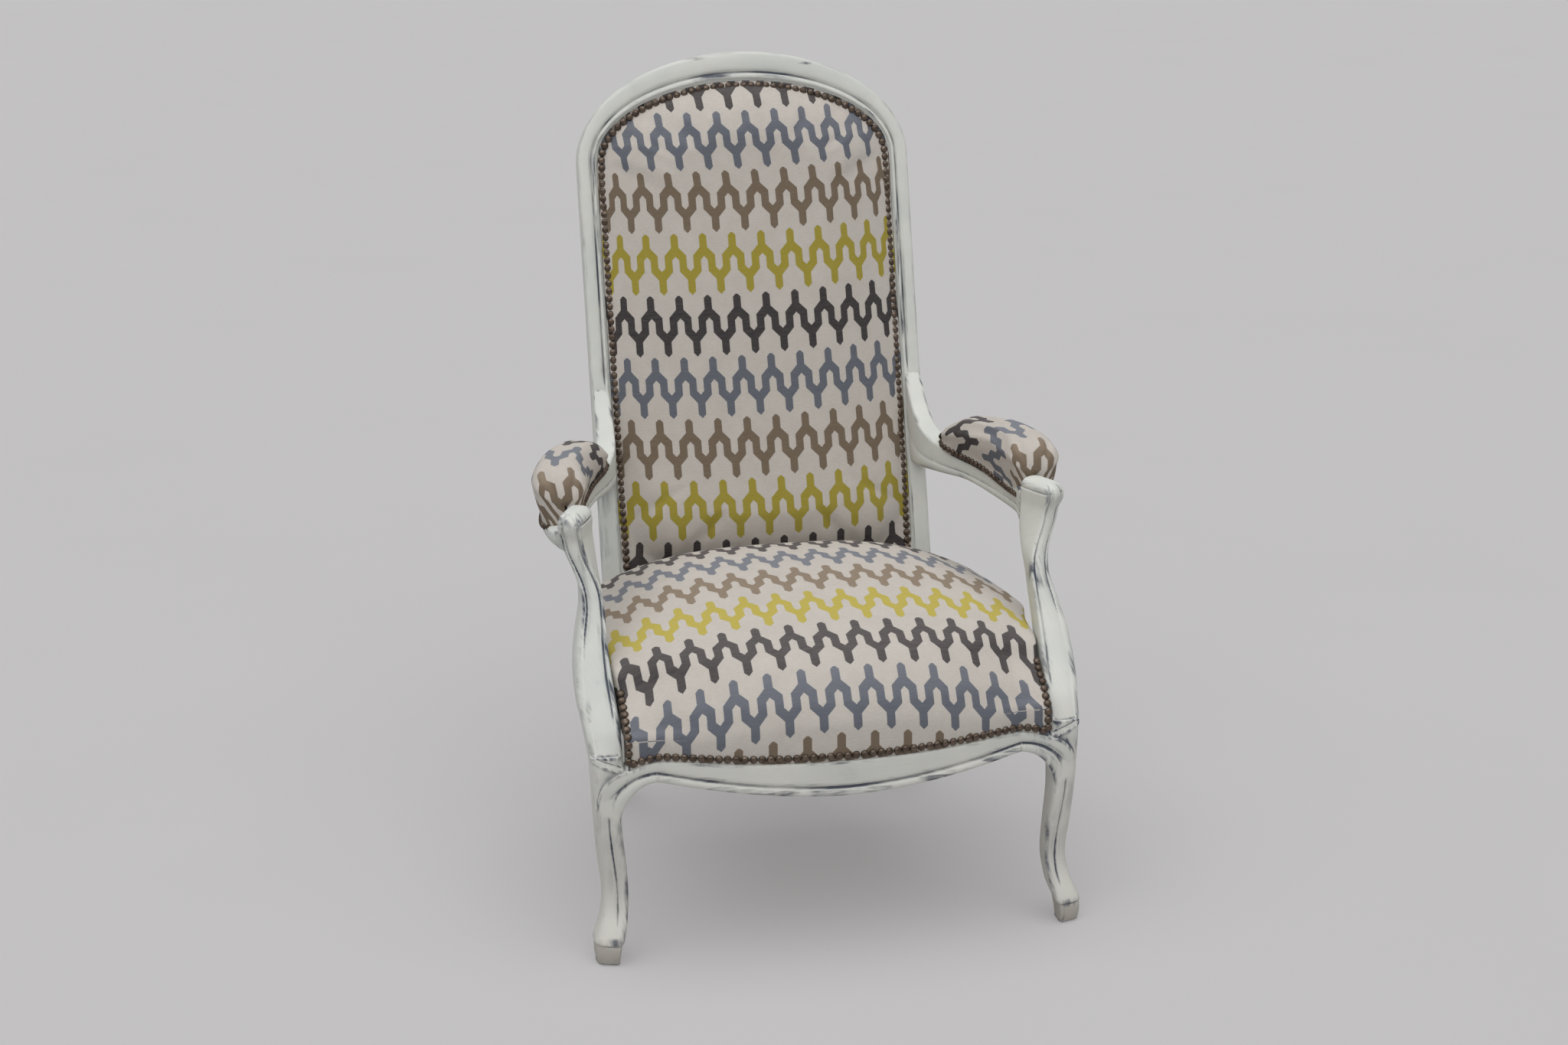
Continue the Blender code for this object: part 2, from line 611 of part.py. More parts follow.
def lattice(name, place, keep, strips):
    """Webbing: crossed strips in one layer, laid by place(a, b, level)."""
    lines = []
    for i in range(strips):
        lines += [(i + 0.1) / strips, (i + 0.9) / strips]
    count = len(lines)
    bm = bmesh.new()
    top = [[bm.verts.new(place(a, b, 1.0)) for b in lines] for a in lines]
    low = [[bm.verts.new(place(a, b, 0.0)) for b in lines] for a in lines]
    cells = [(i, j) for i in range(count - 1) for j in range(count - 1)]
    inside = {(i, j) for i, j in cells
              if all(keep(lines[p], lines[q]) for p in (i, i + 1) for q in (j, j + 1))}
    kept = {(i, j) for i, j in inside
            if i % 2 == 0 or j % 2 == 0
            or any((i + p, j + q) not in inside for p in (-1, 1) for q in (-1, 1))}
    for i, j in sorted(kept):
        bm.faces.new((top[i][j], top[i + 1][j], top[i + 1][j + 1], top[i][j + 1]))
        bm.faces.new((low[i][j], low[i][j + 1], low[i + 1][j + 1], low[i + 1][j]))
        for step, a, b in (((-1, 0), (i, j), (i, j + 1)), ((1, 0), (i + 1, j), (i + 1, j + 1)),
                           ((0, -1), (i, j), (i + 1, j)), ((0, 1), (i, j + 1), (i + 1, j + 1))):
            if (i + step[0], j + step[1]) not in kept:
                bm.faces.new((top[a[0]][a[1]], top[b[0]][b[1]], low[b[0]][b[1]], low[a[0]][a[1]]))
    bmesh.ops.delete(bm, geom=[v for v in bm.verts if not v.link_faces], context="VERTS")
    bm.verts.index_update()
    verts = [v.co.copy() for v in bm.verts]
    faces = [tuple(v.index for v in f.verts) for f in bm.faces]
    bm.free()
    return solid(name, verts, faces, JUTE)


def seat_webbing():
    def place(a, b, level):
        y = FRONT_Y + FRONT_BOW + (SEAT_REAR + 0.006 - FRONT_Y - FRONT_BOW) * b
        x = (2 * a - 1) * (min(rail_outer(y), LEG_X - 0.027) - 0.004)
        y += (front_y(x) - FRONT_Y - FRONT_BOW + 0.012) * (1.0 - b)
        return Vector((x, y, SEAT_Z + GAP + WEB_T * level))
    return lattice("seat_webbing", place, lambda a, b: True, 6)


def back_webbing():
    low, high = PANEL_S - 0.012, SPRING_S + ARCH_RISE - 0.012
    half = BACK_HALF - 0.020

    def spot(a, b):
        return (2 * a - 1) * half, low + (high - low) * b

    def keep(a, b):
        x, s = spot(a, b)
        return math.hypot(x / (BACK_HALF - 0.006), max(s - SPRING_S, 0.0) / (ARCH_RISE - 0.006)) < 1.0

    def place(a, b, level):
        x, s = spot(a, b)
        return on_back(x, s, -FRAME_D - GAP - WEB_T * level)
    return lattice("back_webbing", place, keep, 7)


def arch_outline(half, rise, low, steps):
    """Closed outline of an arched panel: up one side, over the arch, down and across."""
    points = [(half, s) for s in spread(low, SPRING_S, 10)[:-1]]
    points += [(half * math.cos(a), SPRING_S + rise * math.sin(a)) for a in spread(0.0, math.pi, steps)]
    points += [(-half, s) for s in spread(SPRING_S, low, 10)[1:]]
    return points + [(x, low) for x in spread(-half, half, 8)[1:-1]]


PANEL_HALF = BACK_HALF - LEDGE_W - 0.0018
PANEL_RISE = ARCH_RISE - CREST_W * LEDGE_W / FRAME_W - 0.0018
PANEL_FLAT = 0.94
SPINE_LOW = PANEL_S + 0.115
SPINE_HIGH = SPRING_S - 0.010


def panel_ring(f, drop):
    """A ring of the stuffed back at a share of the way out, set back by drop."""
    swell = 1.0 - min(f / PANEL_FLAT, 1.0) ** 3
    t = -LEDGE_D + GAP + COVER_T + BACK_CROWN * swell - drop
    ring = []
    for x, s in arch_outline(PANEL_HALF, PANEL_RISE, PANEL_S, 24):
        spine = min(max(s, SPINE_LOW), SPINE_HIGH)
        ring.append(on_back(x * f, spine + (s - spine) * f, t))
    return ring


def back_cover():
    shares = (0.2, 0.4, 0.58, 0.72, 0.82, 0.89, PANEL_FLAT, 1.0)
    sections = [panel_ring(f, COVER_T) for f in shares]
    sections += [panel_ring(f, 0.0) for f in reversed(shares)]
    return loft("back_cover", sections, FABRIC, sharp=50.0)


def back_stuffing():
    widest = 0.82
    ground = [on_back(p[0], p[1], -FRAME_D) for p in (
        (x * widest, min(max(s, SPINE_LOW), SPINE_HIGH) * (1 - widest) + s * widest)
        for x, s in arch_outline(PANEL_HALF, PANEL_RISE, PANEL_S, 24))]
    sections = [ground] + [panel_ring(f, COVER_T + 0.0005) for f in (widest, 0.72, 0.58, 0.4, 0.2)]
    return loft("back_stuffing", sections, STUFFING, sharp=60.0)


def back_lining():
    outline = arch_outline(BACK_HALF - 0.005, ARCH_RISE - 0.005, SEAT_Z - 0.010, 24)
    near = -FRAME_D - 2 * GAP - WEB_T
    sections = [[on_back(x, s, t) for x, s in outline] for t in (near, near - LINING_T)]
    return loft("back_lining", sections, LINING)


def build_frame():
    sides = ((-1, "left"), (1, "right"))
    posts, legs = {}, {}
    for side, tag in sides:
        posts[side] = back_post(side, "back_post_" + tag)
        legs[side] = front_leg(side, "front_leg_" + tag)
    pairs = list(posts.items())
    crest = crest_rail()
    low = PANEL_S - 0.022
    cross_rail("back_lower_rail", BACK_HALF - FRAME_W, low, low + LOWER_RAIL_H,
               -LEDGE_D, pairs, 0.018)
    cross_rail("seat_back_rail", BACK_HALF - REAR_LEG_W, (SEAT_Z - RAIL_H) / math.cos(RAKE),
               SEAT_Z / math.cos(RAKE), -0.008, pairs, 0.010)
    front = front_rail()
    for side, tag in sides:
        xs = sorted((side * (RAIL_HALF - 0.005), side * (RAIL_HALF + 0.018)))
        y = FRONT_Y + FRONT_BOW
        tenon(front, legs[side], (xs[0], y + 0.0095, SEAT_Z - 0.042),
              (xs[1], y + RAIL_T - 0.006, SEAT_Z - 0.008))
        side_rail(side, "seat_side_rail_" + tag, posts[side], legs[side])
        support = arm_support(side, "arm_support_" + tag)
        rest = arm(side, "arm_" + tag)
        arm_pad(side, "arm_pad_" + tag)
        dowel("crest_dowel_" + tag, crest, posts[side],
              on_back(side * (BACK_HALF - 0.020), SPRING_S, -0.020),
              on_back(0, 1, 0) - on_back(0, 0, 0))
        dowel("support_dowel_" + tag, support, legs[side],
              Vector((side * LEG_X, LEG_Y + 0.006, LEG_TOP)), Vector((0, 0, 1)))
        dowel("arm_head_dowel_" + tag, rest, support,
              Vector((side * ARM_HEAD_X, ARM_JOINT_Y, ARM_Z - 0.022)), Vector((0, 1, 0)))
        root_s = (ARM_S0 + ARM_S1) / 2 - 0.010
        dowel("arm_root_dowel_" + tag, rest, posts[side], on_back(side * ARM_ROOT_X, root_s, 0.0),
              on_back(0, 0, 1) - on_back(0, 0, 0), 0.004, 0.020)


def build_upholstery():
    seat_webbing()
    seat_stuffing()
    seat_cover()
    low = SEAT_Z - RAIL_H - GAP
    half = BACK_HALF - 0.010
    block("seat_bottom_cloth", (-half, EAR_BACK + 0.004, low - 0.001),
          (half, BACK_Y + 0.058, low), in_world, LINING)
    back_webbing()
    back_stuffing()
    back_cover()
    back_lining()


def stand_on_origin():
    """Hang everything from one empty so the origin lies under the middle of the chair."""
    root = bpy.data.objects.new("armchair", None)
    bpy.context.scene.collection.objects.link(root)
    shown = [o for o in bpy.data.objects if o.type == "MESH" and not o.hide_render]
    ys = [v.co.y for o in shown for v in o.data.vertices]
    for obj in bpy.data.objects:
        if obj is not root:
            obj.parent = root
    root.location.y = -(min(ys) + max(ys)) / 2


WOOD = ((0.68, 0.73, 0.68), 0.45)
PEG = ((0.55, 0.38, 0.22), 0.60)
FABRIC = ((0.58, 0.49, 0.44), 0.90)
JUTE = ((0.42, 0.30, 0.18), 0.95)
STUFFING = ((0.75, 0.70, 0.60), 0.95)
LINING = ((0.55, 0.48, 0.42), 0.90)

clear_scene()
build_frame()
build_upholstery()
stand_on_origin()
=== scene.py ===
"""Looks for the voltaire armchair: worn painted frame, zigzag fabric, domed nails.

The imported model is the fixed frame. Every shape here stands for a node of it or sits on one.
"""
import math
from contextlib import contextmanager

import bmesh
import bpy
import numpy as np
from mathutils import Matrix, Vector


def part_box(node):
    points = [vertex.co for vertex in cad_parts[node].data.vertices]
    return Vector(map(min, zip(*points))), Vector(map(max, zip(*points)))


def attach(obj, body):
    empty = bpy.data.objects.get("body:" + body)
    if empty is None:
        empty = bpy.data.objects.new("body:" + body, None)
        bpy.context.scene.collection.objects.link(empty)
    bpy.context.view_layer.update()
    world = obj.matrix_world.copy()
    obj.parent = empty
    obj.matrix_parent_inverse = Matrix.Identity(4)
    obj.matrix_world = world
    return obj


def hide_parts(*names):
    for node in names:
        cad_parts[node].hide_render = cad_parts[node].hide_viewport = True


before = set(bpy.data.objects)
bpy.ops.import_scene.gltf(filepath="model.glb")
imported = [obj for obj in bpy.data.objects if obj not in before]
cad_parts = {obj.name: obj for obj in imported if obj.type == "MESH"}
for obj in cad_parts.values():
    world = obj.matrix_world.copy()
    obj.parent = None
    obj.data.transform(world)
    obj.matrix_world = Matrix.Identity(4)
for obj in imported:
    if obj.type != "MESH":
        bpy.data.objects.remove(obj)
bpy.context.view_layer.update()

# Driving sizes of the part, in metres
RAKE = math.radians(15.0)
BACK_Y = 0.0418
BACK_HALF = 0.242
SPRING_S = 0.98
ARCH_RISE = 0.154
FRAME_W = 0.047
CREST_BROAD = 1.58
FRAME_D = 0.034
REAR_LEG_W = 0.036
SABRE_Z = 0.24
SABRE_KICK = 0.213
SABRE_POWER = 1.7
LEG_X = 0.304
LEG_Y = -0.305
SEAT_Z = 0.300
RAIL_T = 0.028
FRONT_BOW = 0.037
APRON_DROP = 0.077
APRON_RISE = 0.025
APRON_POWER = 1.7
EAR_DROP = 0.0575
EAR_RUN = 0.0497
ARM_Z = 0.545
ARM_REACH = 0.175
PAD_RISE = 0.0645
BACK_CROWN = 0.036
GAP = 0.0003
OVERLAP = 0.003

# Sizes that follow from them
PANEL_LOW = SEAT_Z + 0.085
LEG_TOP = SEAT_Z - 0.015
LEG_INNER = LEG_X - 0.0255
NAIL_Z = SEAT_Z - 0.021
APRON_Z = SEAT_Z - APRON_DROP
RAIL_HALF = LEG_X - 0.064
FRONT_Y = LEG_Y - 0.067
EAR_BACK = LEG_Y + 0.030
ARM_JOINT_Y = LEG_Y + ARM_REACH
ARM_S0 = (ARM_Z - 0.038) / math.cos(RAKE)
ARM_S1 = (ARM_Z + 0.0925) / math.cos(RAKE)
SUPPORT_TOP = ARM_Z + 0.025
LEDGE_W = 0.0257
LEDGE_D = 0.006
REBATE_D = 0.0055
REBATE_Z = NAIL_Z - 0.0085
RAIL_SKIN_Z = SEAT_Z + 0.01
SIDES = ((-1, "left"), (1, "right"))
# The part's own origin was moved under its middle; shapes here are made before that move
SHIFT = Vector((0.0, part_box("seat_front_rail")[0][1] - FRONT_Y, 0.0))

# Fabric repeat: width of one zigzag and height of one row
PERIOD = 0.0425
PITCH = 0.0880
NAIL_R = 0.0055


def spline(keys, t):
    """Smooth curve through keys (t, values...) at t."""
    i = 0
    while i < len(keys) - 2 and t > keys[i + 1][0]:
        i += 1
    a, b = keys[i], keys[i + 1]
    before, after = keys[max(i - 1, 0)], keys[min(i + 2, len(keys) - 1)]
    span = b[0] - a[0]
    f = min(max((t - a[0]) / span, 0.0), 1.0)
    out = []
    for j in range(1, len(a)):
        m0 = (b[j] - before[j]) / (b[0] - before[0]) * span
        m1 = (after[j] - a[j]) / (after[0] - a[0]) * span
        h = (2 * f ** 3 - 3 * f ** 2 + 1) * a[j] + (f ** 3 - 2 * f ** 2 + f) * m0
        out.append(h + (3 * f ** 2 - 2 * f ** 3) * b[j] + (f ** 3 - f ** 2) * m1)
    return out


def spread(start, stop, steps):
    return [start + (stop - start) * i / steps for i in range(steps + 1)]


def ease(f):
    f = min(max(f, 0.0), 1.0)
    return f * f * (3 - 2 * f)


def on_back(x, s, t):
    """Point on the raked back: across, up the slope, forward of the front face."""
    y = BACK_Y + s * math.sin(RAKE) - t * math.cos(RAKE)
    return Vector((x, y, s * math.cos(RAKE) + t * math.sin(RAKE)))


def add_object(name, data):
    obj = bpy.data.objects.new(name, data)
    bpy.context.scene.collection.objects.link(obj)
    return obj


def mesh_object(name, verts, faces):
    mesh = bpy.data.meshes.new(name)
    mesh.from_pydata([tuple(v) for v in verts], [], faces)
    mesh.shade_smooth()
    return add_object(name, mesh)


@contextmanager
def edited(mesh):
    """Open a mesh for editing and write it back."""
    bm = bmesh.new()
    bm.from_mesh(mesh)
    yield bm
    bm.to_mesh(mesh)
    bm.free()


def fetch(items, key, width, kind=float):
    """One property of every item of a mesh, a row for each."""
    out = np.empty(len(items) * width, dtype=kind)
    items.foreach_get(key, out)
    return out.reshape(-1, width)


def coordinates(mesh):
    return fetch(mesh.vertices, "co", 3)


def directions(mesh):
    return fetch(mesh.vertices, "normal", 3)


def store(mesh, name, values):
    mesh.attributes.new(name, "FLOAT", "POINT").data.foreach_set("value", values)


def write_uvs(mesh, name, spots):
    """Give a mesh a set of flat coordinates, one spot for each of its points."""
    corners = fetch(mesh.loops, "vertex_index", 1, np.int32).ravel()
    mesh.uv_layers.new(name=name).data.foreach_set("uv", np.asarray(spots)[corners].ravel())


def apply_modifiers(obj):
    """Bake the modifiers into the mesh."""
    graph = bpy.context.evaluated_depsgraph_get()
    baked = bpy.data.meshes.new_from_object(obj.evaluated_get(graph))
    obj.modifiers.clear()
    old = obj.data
    obj.data = baked
    bpy.data.meshes.remove(old)
    obj.data.shade_smooth()


def subdivide(obj, levels):
    mod = obj.modifiers.new("Smooth", "SUBSURF")
    mod.levels = levels
    mod.render_levels = levels
    apply_modifiers(obj)


def grain_coordinates(sections):
    """How far round and along a loft each of its points lies."""
    around, along = [0.0], [0.0]
    ring = sections[len(sections) // 2]
    for a, b in zip(ring, ring[1:]):
        around.append(around[-1] + (b - a).length)
    for a, b in zip(sections, sections[1:]):
        along.append(along[-1] + (b[0] - a[0]).length)
    return [(u, v) for v in along for u in around]


def loft(name, sections, crisp=(True, True)):
    """Skin a run of sections as a cage and round it; crisp ends stay square."""
    count = len(sections[0])
    last = (len(sections) - 1) * count
    faces = []
    for low in range(0, last, count):
        for j in range(count):
            k = (j + 1) % count
            faces.append((low + j, low + k, low + count + k, low + count + j))
    faces.append(tuple(range(count)))
    faces.append(tuple(range(last, last + count)))
    obj = mesh_object(name, [p for section in sections for p in section], faces)
    with edited(obj.data) as bm:
        bmesh.ops.recalc_face_normals(bm, faces=bm.faces)
        crease = bm.edges.layers.float.new("crease_edge")
        for edge in bm.edges:
            a, b = edge.verts[0].index, edge.verts[1].index
            if (crisp[0] and max(a, b) < count) or (crisp[1] and min(a, b) >= last):
                edge[crease] = 1.0
    write_uvs(obj.data, "Grain", grain_coordinates(sections))
    subdivide(obj, 2)
    return obj


# Share of a second direction added to a skin's width, so that sideways faces show streaks too
GRAIN_SLANT = 0.6


def fuse(name, parts, voxel, rounds):
    """Grow several closed pieces together into one skin of even cells, a little smoothed."""
    bm = bmesh.new()
    for obj in parts:
        bm.from_mesh(obj.data)
        bpy.data.objects.remove(obj, do_unlink=True)
    mesh = bpy.data.meshes.new(name)
    bm.to_mesh(mesh)
    bm.free()
    obj = add_object(name, mesh)
    mod = obj.modifiers.new("Skin", "REMESH")
    mod.mode = "VOXEL"
    mod.voxel_size = voxel
    mod = obj.modifiers.new("Sand", "SMOOTH")
    mod.factor = 0.5
    mod.iterations = rounds
    apply_modifiers(obj)
    x, y, z = coordinates(obj.data).T
    rail = (np.abs(x) < RAIL_HALF) & (z < RAIL_SKIN_Z)
    arms = (z > LEG_TOP) & (y > ARM_JOINT_Y)
    flat = np.stack([np.where(rail, z + GRAIN_SLANT * y, x + GRAIN_SLANT * np.where(arms, z, y)),
                     np.where(rail, x, np.where(arms, y, z))], 1)
    write_uvs(obj.data, "Grain", flat)
    return obj


def cut_along(obj, planes):
    """Give a skin straight edges where it will be split, and store its smooth directions."""
    mesh = obj.data
    with edited(mesh) as bm:
        for point, direction in planes:
            everything = bm.verts[:] + bm.edges[:] + bm.faces[:]
            bmesh.ops.bisect_plane(bm, geom=everything, dist=1e-6, plane_co=point, plane_no=direction)
    mesh.shade_smooth()
    kept = mesh.attributes.new("smooth", "FLOAT_VECTOR", "POINT")
    kept.data.foreach_set("vector", directions(mesh).ravel())


def close_holes(bm):
    """Fill every open rim with one flat face."""
    rims = [e for e in bm.edges if e.is_boundary]
    for face in bmesh.ops.holes_fill(bm, edges=rims, sides=0)["faces"]:
        face.smooth = False


def drop_crumbs(bm):
    """Keep only the largest connected patch of faces."""
    left = set(bm.faces)
    patches = []
    while left:
        front = [left.pop()]
        patch = list(front)
        while front:
            near = {f for e in front.pop().edges for f in e.link_faces} & left
            left -= near
            patch += near
            front += near
        patches.append(patch)
    patches.sort(key=len)
    crumbs = [f for patch in patches[:-1] for f in patch]
    bmesh.ops.delete(bm, geom=crumbs, context="FACES")


def split_off(obj, name, keep):
    """Copy the faces of a skin whose middles pass a test into a closed piece of their own."""
    bm = bmesh.new()
    bm.from_mesh(obj.data)
    drop = [f for f in bm.faces if not keep(f.calc_center_median())]
    bmesh.ops.delete(bm, geom=drop, context="FACES")
    drop_crumbs(bm)
    close_holes(bm)
    mesh = bpy.data.meshes.new(name)
    bm.to_mesh(mesh)
    bm.free()
    normals = fetch(mesh.attributes["smooth"].data, "vector", 3)
    mesh.attributes.remove(mesh.attributes["smooth"])
    mesh.normals_split_custom_set_from_vertices(normals)
    return add_object(name, mesh)


def mark_wear(obj, scale):
    """Store how far each point bulges out or sinks in, for paint to wear off or gather."""
    mesh = obj.data
    count = len(mesh.vertices)
    points, normals = coordinates(mesh), directions(mesh)
    a, b = fetch(mesh.edges, "vertices", 2, np.int32).T
    step = points[b] - points[a]
    square = np.maximum((step ** 2).sum(1), 1e-8)
    degree = np.maximum(np.bincount(a, minlength=count) + np.bincount(b, minlength=count), 1)
    bend = np.bincount(a, -2 * (normals[a] * step).sum(1) / square, count)
    bend += np.bincount(b, 2 * (normals[b] * step).sum(1) / square, count)
    bend = np.clip(bend / degree / scale, -1.5, 1.5)
    for name, rounds in (("wear", 2), ("halo", 10)):
        for _ in range(rounds):
            near = np.bincount(a, bend[b], count) + np.bincount(b, bend[a], count)
            bend = 0.5 * bend + 0.5 * near / degree
        store(mesh, name, bend)


# Places where the paint was rubbed through: x, y and z of the middle, reach across, back and up
RUBBED = (
    (*on_back(-0.062, 1.125, 0.0), 0.032, 0.02, 0.0045),
    (*on_back(0.100, 1.113, 0.0), 0.022, 0.02, 0.0035),
    (*on_back(-0.035, 1.099, 0.0), 0.060, 0.02, 0.0060),
    (0.328, -0.276, 0.345, 0.009, 0.02, 0.036), (-0.322, -0.282, 0.335, 0.0055, 0.02, 0.024),
    (-0.292, -0.215, 0.500, 0.030, 0.05, 0.040), (0.300, -0.215, 0.455, 0.030, 0.05, 0.035),
    (0.326, -0.330, 0.246, 0.008, 0.02, 0.010), (-0.326, -0.330, 0.240, 0.010, 0.02, 0.012),
    (0.283, -0.325, 0.130, 0.006, 0.02, 0.040), (-0.283, -0.325, 0.145, 0.006, 0.02, 0.040),
    (0.322, -0.330, 0.180, 0.006, 0.03, 0.050), (-0.322, -0.330, 0.165, 0.006, 0.03, 0.045),
    (0.310, -0.345, 0.030, 0.035, 0.03, 0.008), (-0.310, -0.345, 0.034, 0.035, 0.03, 0.008),
    (-0.110, -0.365, 0.232, 0.060, 0.02, 0.004), (0.150, -0.355, 0.236, 0.050, 0.02, 0.004),
)


def mark_rubs(obj):
    points = coordinates(obj.data)
    worn = np.zeros(len(points))
    for x, y, z, *reach in RUBBED:
        off = (((points - (x, y, z)) / reach) ** 2).sum(1)
        worn = np.maximum(worn, np.exp(-off))
    store(obj.data, "rubbed", worn)


def seat(obj, material, slot, *nodes):
    """Move a piece into the frame, give it its finish and hide the nodes it stands for."""
    obj.data.transform(Matrix.Translation(SHIFT))
    obj.data.materials.clear()
    obj.data.materials.append(material)
    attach(obj, "root")
    if nodes:
        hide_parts(*nodes)
    return obj


# Back frame

# Across the frame: distance in from the outer edge, moulded depth, plain depth
MOULDING = (
    (0.0, -0.011, -0.011), (0.0, -0.004, -0.003), (0.0018, -0.0010, -0.0003),
    (0.0050, -0.0002, 0.0), (0.0090, 0.0002, 0.0), (0.0135, 0.0, 0.0),
    (0.0172, -0.0010, 0.0), (0.0181, -0.0046, 0.0), (0.0198, -0.0048, 0.0),
    (0.0205, -0.0014, 0.0), (0.0226, -0.0005, 0.0), (0.0248, -0.0012, 0.0),
)


def frame_section(mould, ledge, width):
    k = width / FRAME_W
    soft = 0.004
    points = [(w * k, plain + (cut - plain) * mould) for w, cut, plain in MOULDING]
    points += [(LEDGE_W * k, -LEDGE_D * ledge), (width, -LEDGE_D * ledge)]
    points += [(width, soft - FRAME_D), (width - soft, -FRAME_D), (soft, -FRAME_D), (0.0, soft - FRAME_D)]
    return points


def rear_front(z):
    kick = max(SABRE_Z - z, 0.0) / SABRE_Z
    return BACK_Y + z * math.tan(RAKE) + SABRE_KICK * kick ** SABRE_POWER


def rear_depth(z):
    step = 0.002
    slope = (rear_front(z + step) - rear_front(z)) / step
    taper = 0.88 + 0.12 * min(z / SABRE_Z, 1.0)
    return FRAME_D * taper * math.hypot(1.0, slope)


def post_sections(side):
    """Rings of one post and rear leg, from the floor to the spring of the arch."""
    sections = []
    for z in spread(0.0, SABRE_Z, 12):
        depth = rear_depth(z) / FRAME_D
        sections.append([Vector((side * (BACK_HALF - w), rear_front(z) - t * depth, z))
                         for w, t in frame_section(0.0, 0.0, REAR_LEG_W)])
    run_out = ARM_S1 + 0.018
    stops = [(PANEL_LOW - 0.045, 0.0, 0.0, REAR_LEG_W), (PANEL_LOW - 0.025, 0.0, 0.0, FRAME_W),
             (PANEL_LOW - 0.006, 0.0, 0.0, FRAME_W), (PANEL_LOW - 0.004, 0.0, 1.0, FRAME_W),
             (ARM_S1 - 0.006, 0.0, 1.0, FRAME_W), (ARM_S1 + 0.004, 0.0, 1.0, FRAME_W),
             (run_out, 1.0, 1.0, FRAME_W)]
    stops += [(s, 1.0, 1.0, FRAME_W) for s in spread(run_out + 0.012, SPRING_S, 12)]
    for s, mould, ledge, width in stops:
        sections.append([on_back(side * (BACK_HALF - w), s, t)
                         for w, t in frame_section(mould, ledge, width)])
    return sections


def back_frame():
    """Both posts and the crest in one sweep, so that the paint runs over their joints."""
    arch = []
    for a in spread(math.pi, 0.0, 64)[1:-1]:
        ring = []
        for w, t in frame_section(1.0, 1.0, FRAME_W):
            rise = ARCH_RISE - w * CREST_BROAD
            ring.append(on_back((BACK_HALF - w) * math.cos(a), SPRING_S + rise * math.sin(a), t))
        arch.append(ring)
    return loft("back_frame", post_sections(-1) + arch + post_sections(1)[::-1])


def up_the_back(point):
    return point.z * math.cos(RAKE) + (point.y - BACK_Y) * math.sin(RAKE)


# Seat front and front legs

APRON_EDGE = ((0.0, 0.0035), (0.0013, 0.0004), (0.0054, -0.0006), (0.0095, 0.0004),
              (0.0110, 0.0046), (0.0136, 0.0048), (0.0152, 0.0010), (0.0185, 0.0006))
EAR_BEAD = 0.6


def front_y(x):
    return FRONT_Y + FRONT_BOW * min(abs(x) / RAIL_HALF, 1.0) ** 2


def apron_z(x):
    return APRON_Z + APRON_RISE * min(abs(x) / RAIL_HALF, 1.0) ** APRON_POWER


# Upper edge of the rail: distance from the middle of the seat, rise over its height there
LIP = ((0.0, 0.0), (0.13, 0.0015), (0.20, 0.0050), (0.232, 0.0060), (0.256, 0.0030),
       (0.272, -0.0025), (0.285, -0.0065))


def lip(x):
    return spline(LIP, abs(x))[0]


def front_rail():
    sections = []
    for x in spread(-RAIL_HALF - OVERLAP, RAIL_HALF + OVERLAP, 40):
        y, z, edge = front_y(x), apron_z(x), REBATE_Z + lip(x)
        ring = [(RAIL_T, z), (0.006, z)] + [(d, z + h) for h, d in APRON_EDGE]
        ring += [(0.0006, edge - 0.002), (0.0010, edge), (REBATE_D, edge)]
        ring += [(REBATE_D, SEAT_Z), (RAIL_T, SEAT_Z)]
        sections.append([Vector((x, y + d, h)) for d, h in ring])
    return loft("rail", sections)


# Round edge of the ear where it sweeps over the knee, seen from the front: middle and radii
KNEE = (0.2795, 0.2185, 0.0415, 0.0478)
EAR_CORNER = 0.5
EAR_START = RAIL_HALF + GAP


def ear_low(a):
    """Lower edge of the ear at a turn of its sweep, seen from the front."""
    return EAR_START + EAR_RUN * math.sin(a), APRON_Z + APRON_RISE - EAR_DROP * (1.0 - math.cos(a))


def ear_reach(a):
    """Width of the ear's face from its lower edge to the nails or to the knee."""
    x, z = ear_low(a)
    s, c = math.sin(a), math.cos(a)
    if a <= EAR_CORNER:
        reach = 0.03
        for _ in range(4):
            reach = (REBATE_Z + lip(x + reach * s) - z) / c
        return reach
    cx, cz, rx, rz = KNEE
    k = (s / rx) ** 2 + (c / rz) ** 2
    m = (x - cx) * s / rx ** 2 + (z - cz) * c / rz ** 2
    n = ((x - cx) / rx) ** 2 + ((z - cz) / rz) ** 2 - 1.0
    return (math.sqrt(m * m - k * n) - m) / k


def leg_ear(side):
    """The bracket that carries the rail's face and bead round into the leg."""
    sections = []
    for a in spread(0.0, EAR_CORNER, 4) + spread(EAR_CORNER + 0.02, math.pi / 2, 8):
        x, z = ear_low(a)
        reach = ear_reach(a)
        settle_in = ease((a - EAR_CORNER) / 1.05)

        def spot(h, d, s=math.sin(a), c=math.cos(a), x=x, z=z, into=settle_in):
            flat = FRONT_Y + FRONT_BOW
            turned = LEG_Y - 0.0235 + TURN_OUT * (x + h * s - LEG_X)
            return Vector((side * (x + h * s), flat + (turned - flat) * into + d, z + h * c))

        ring = [spot(0.0, EAR_BACK - FRONT_Y - FRONT_BOW), spot(0.0, 0.006)]
        grow = 1.0 + EAR_BEAD * ease(a / 1.3)
        ring += [spot(h * grow, d) for h, d in APRON_EDGE]
        ring += [spot(reach - 0.002, 0.0006), spot(reach, 0.0010), spot(reach, REBATE_D)]
        if a <= EAR_CORNER:
            top = spot(reach, REBATE_D)
            ring += [Vector((top.x, top.y, SEAT_Z)), Vector((top.x, EAR_BACK, SEAT_Z))]
        else:
            ring += [spot(reach, 0.014), spot(reach, 0.030)]
        sections.append(ring)
    return loft("ear", sections)


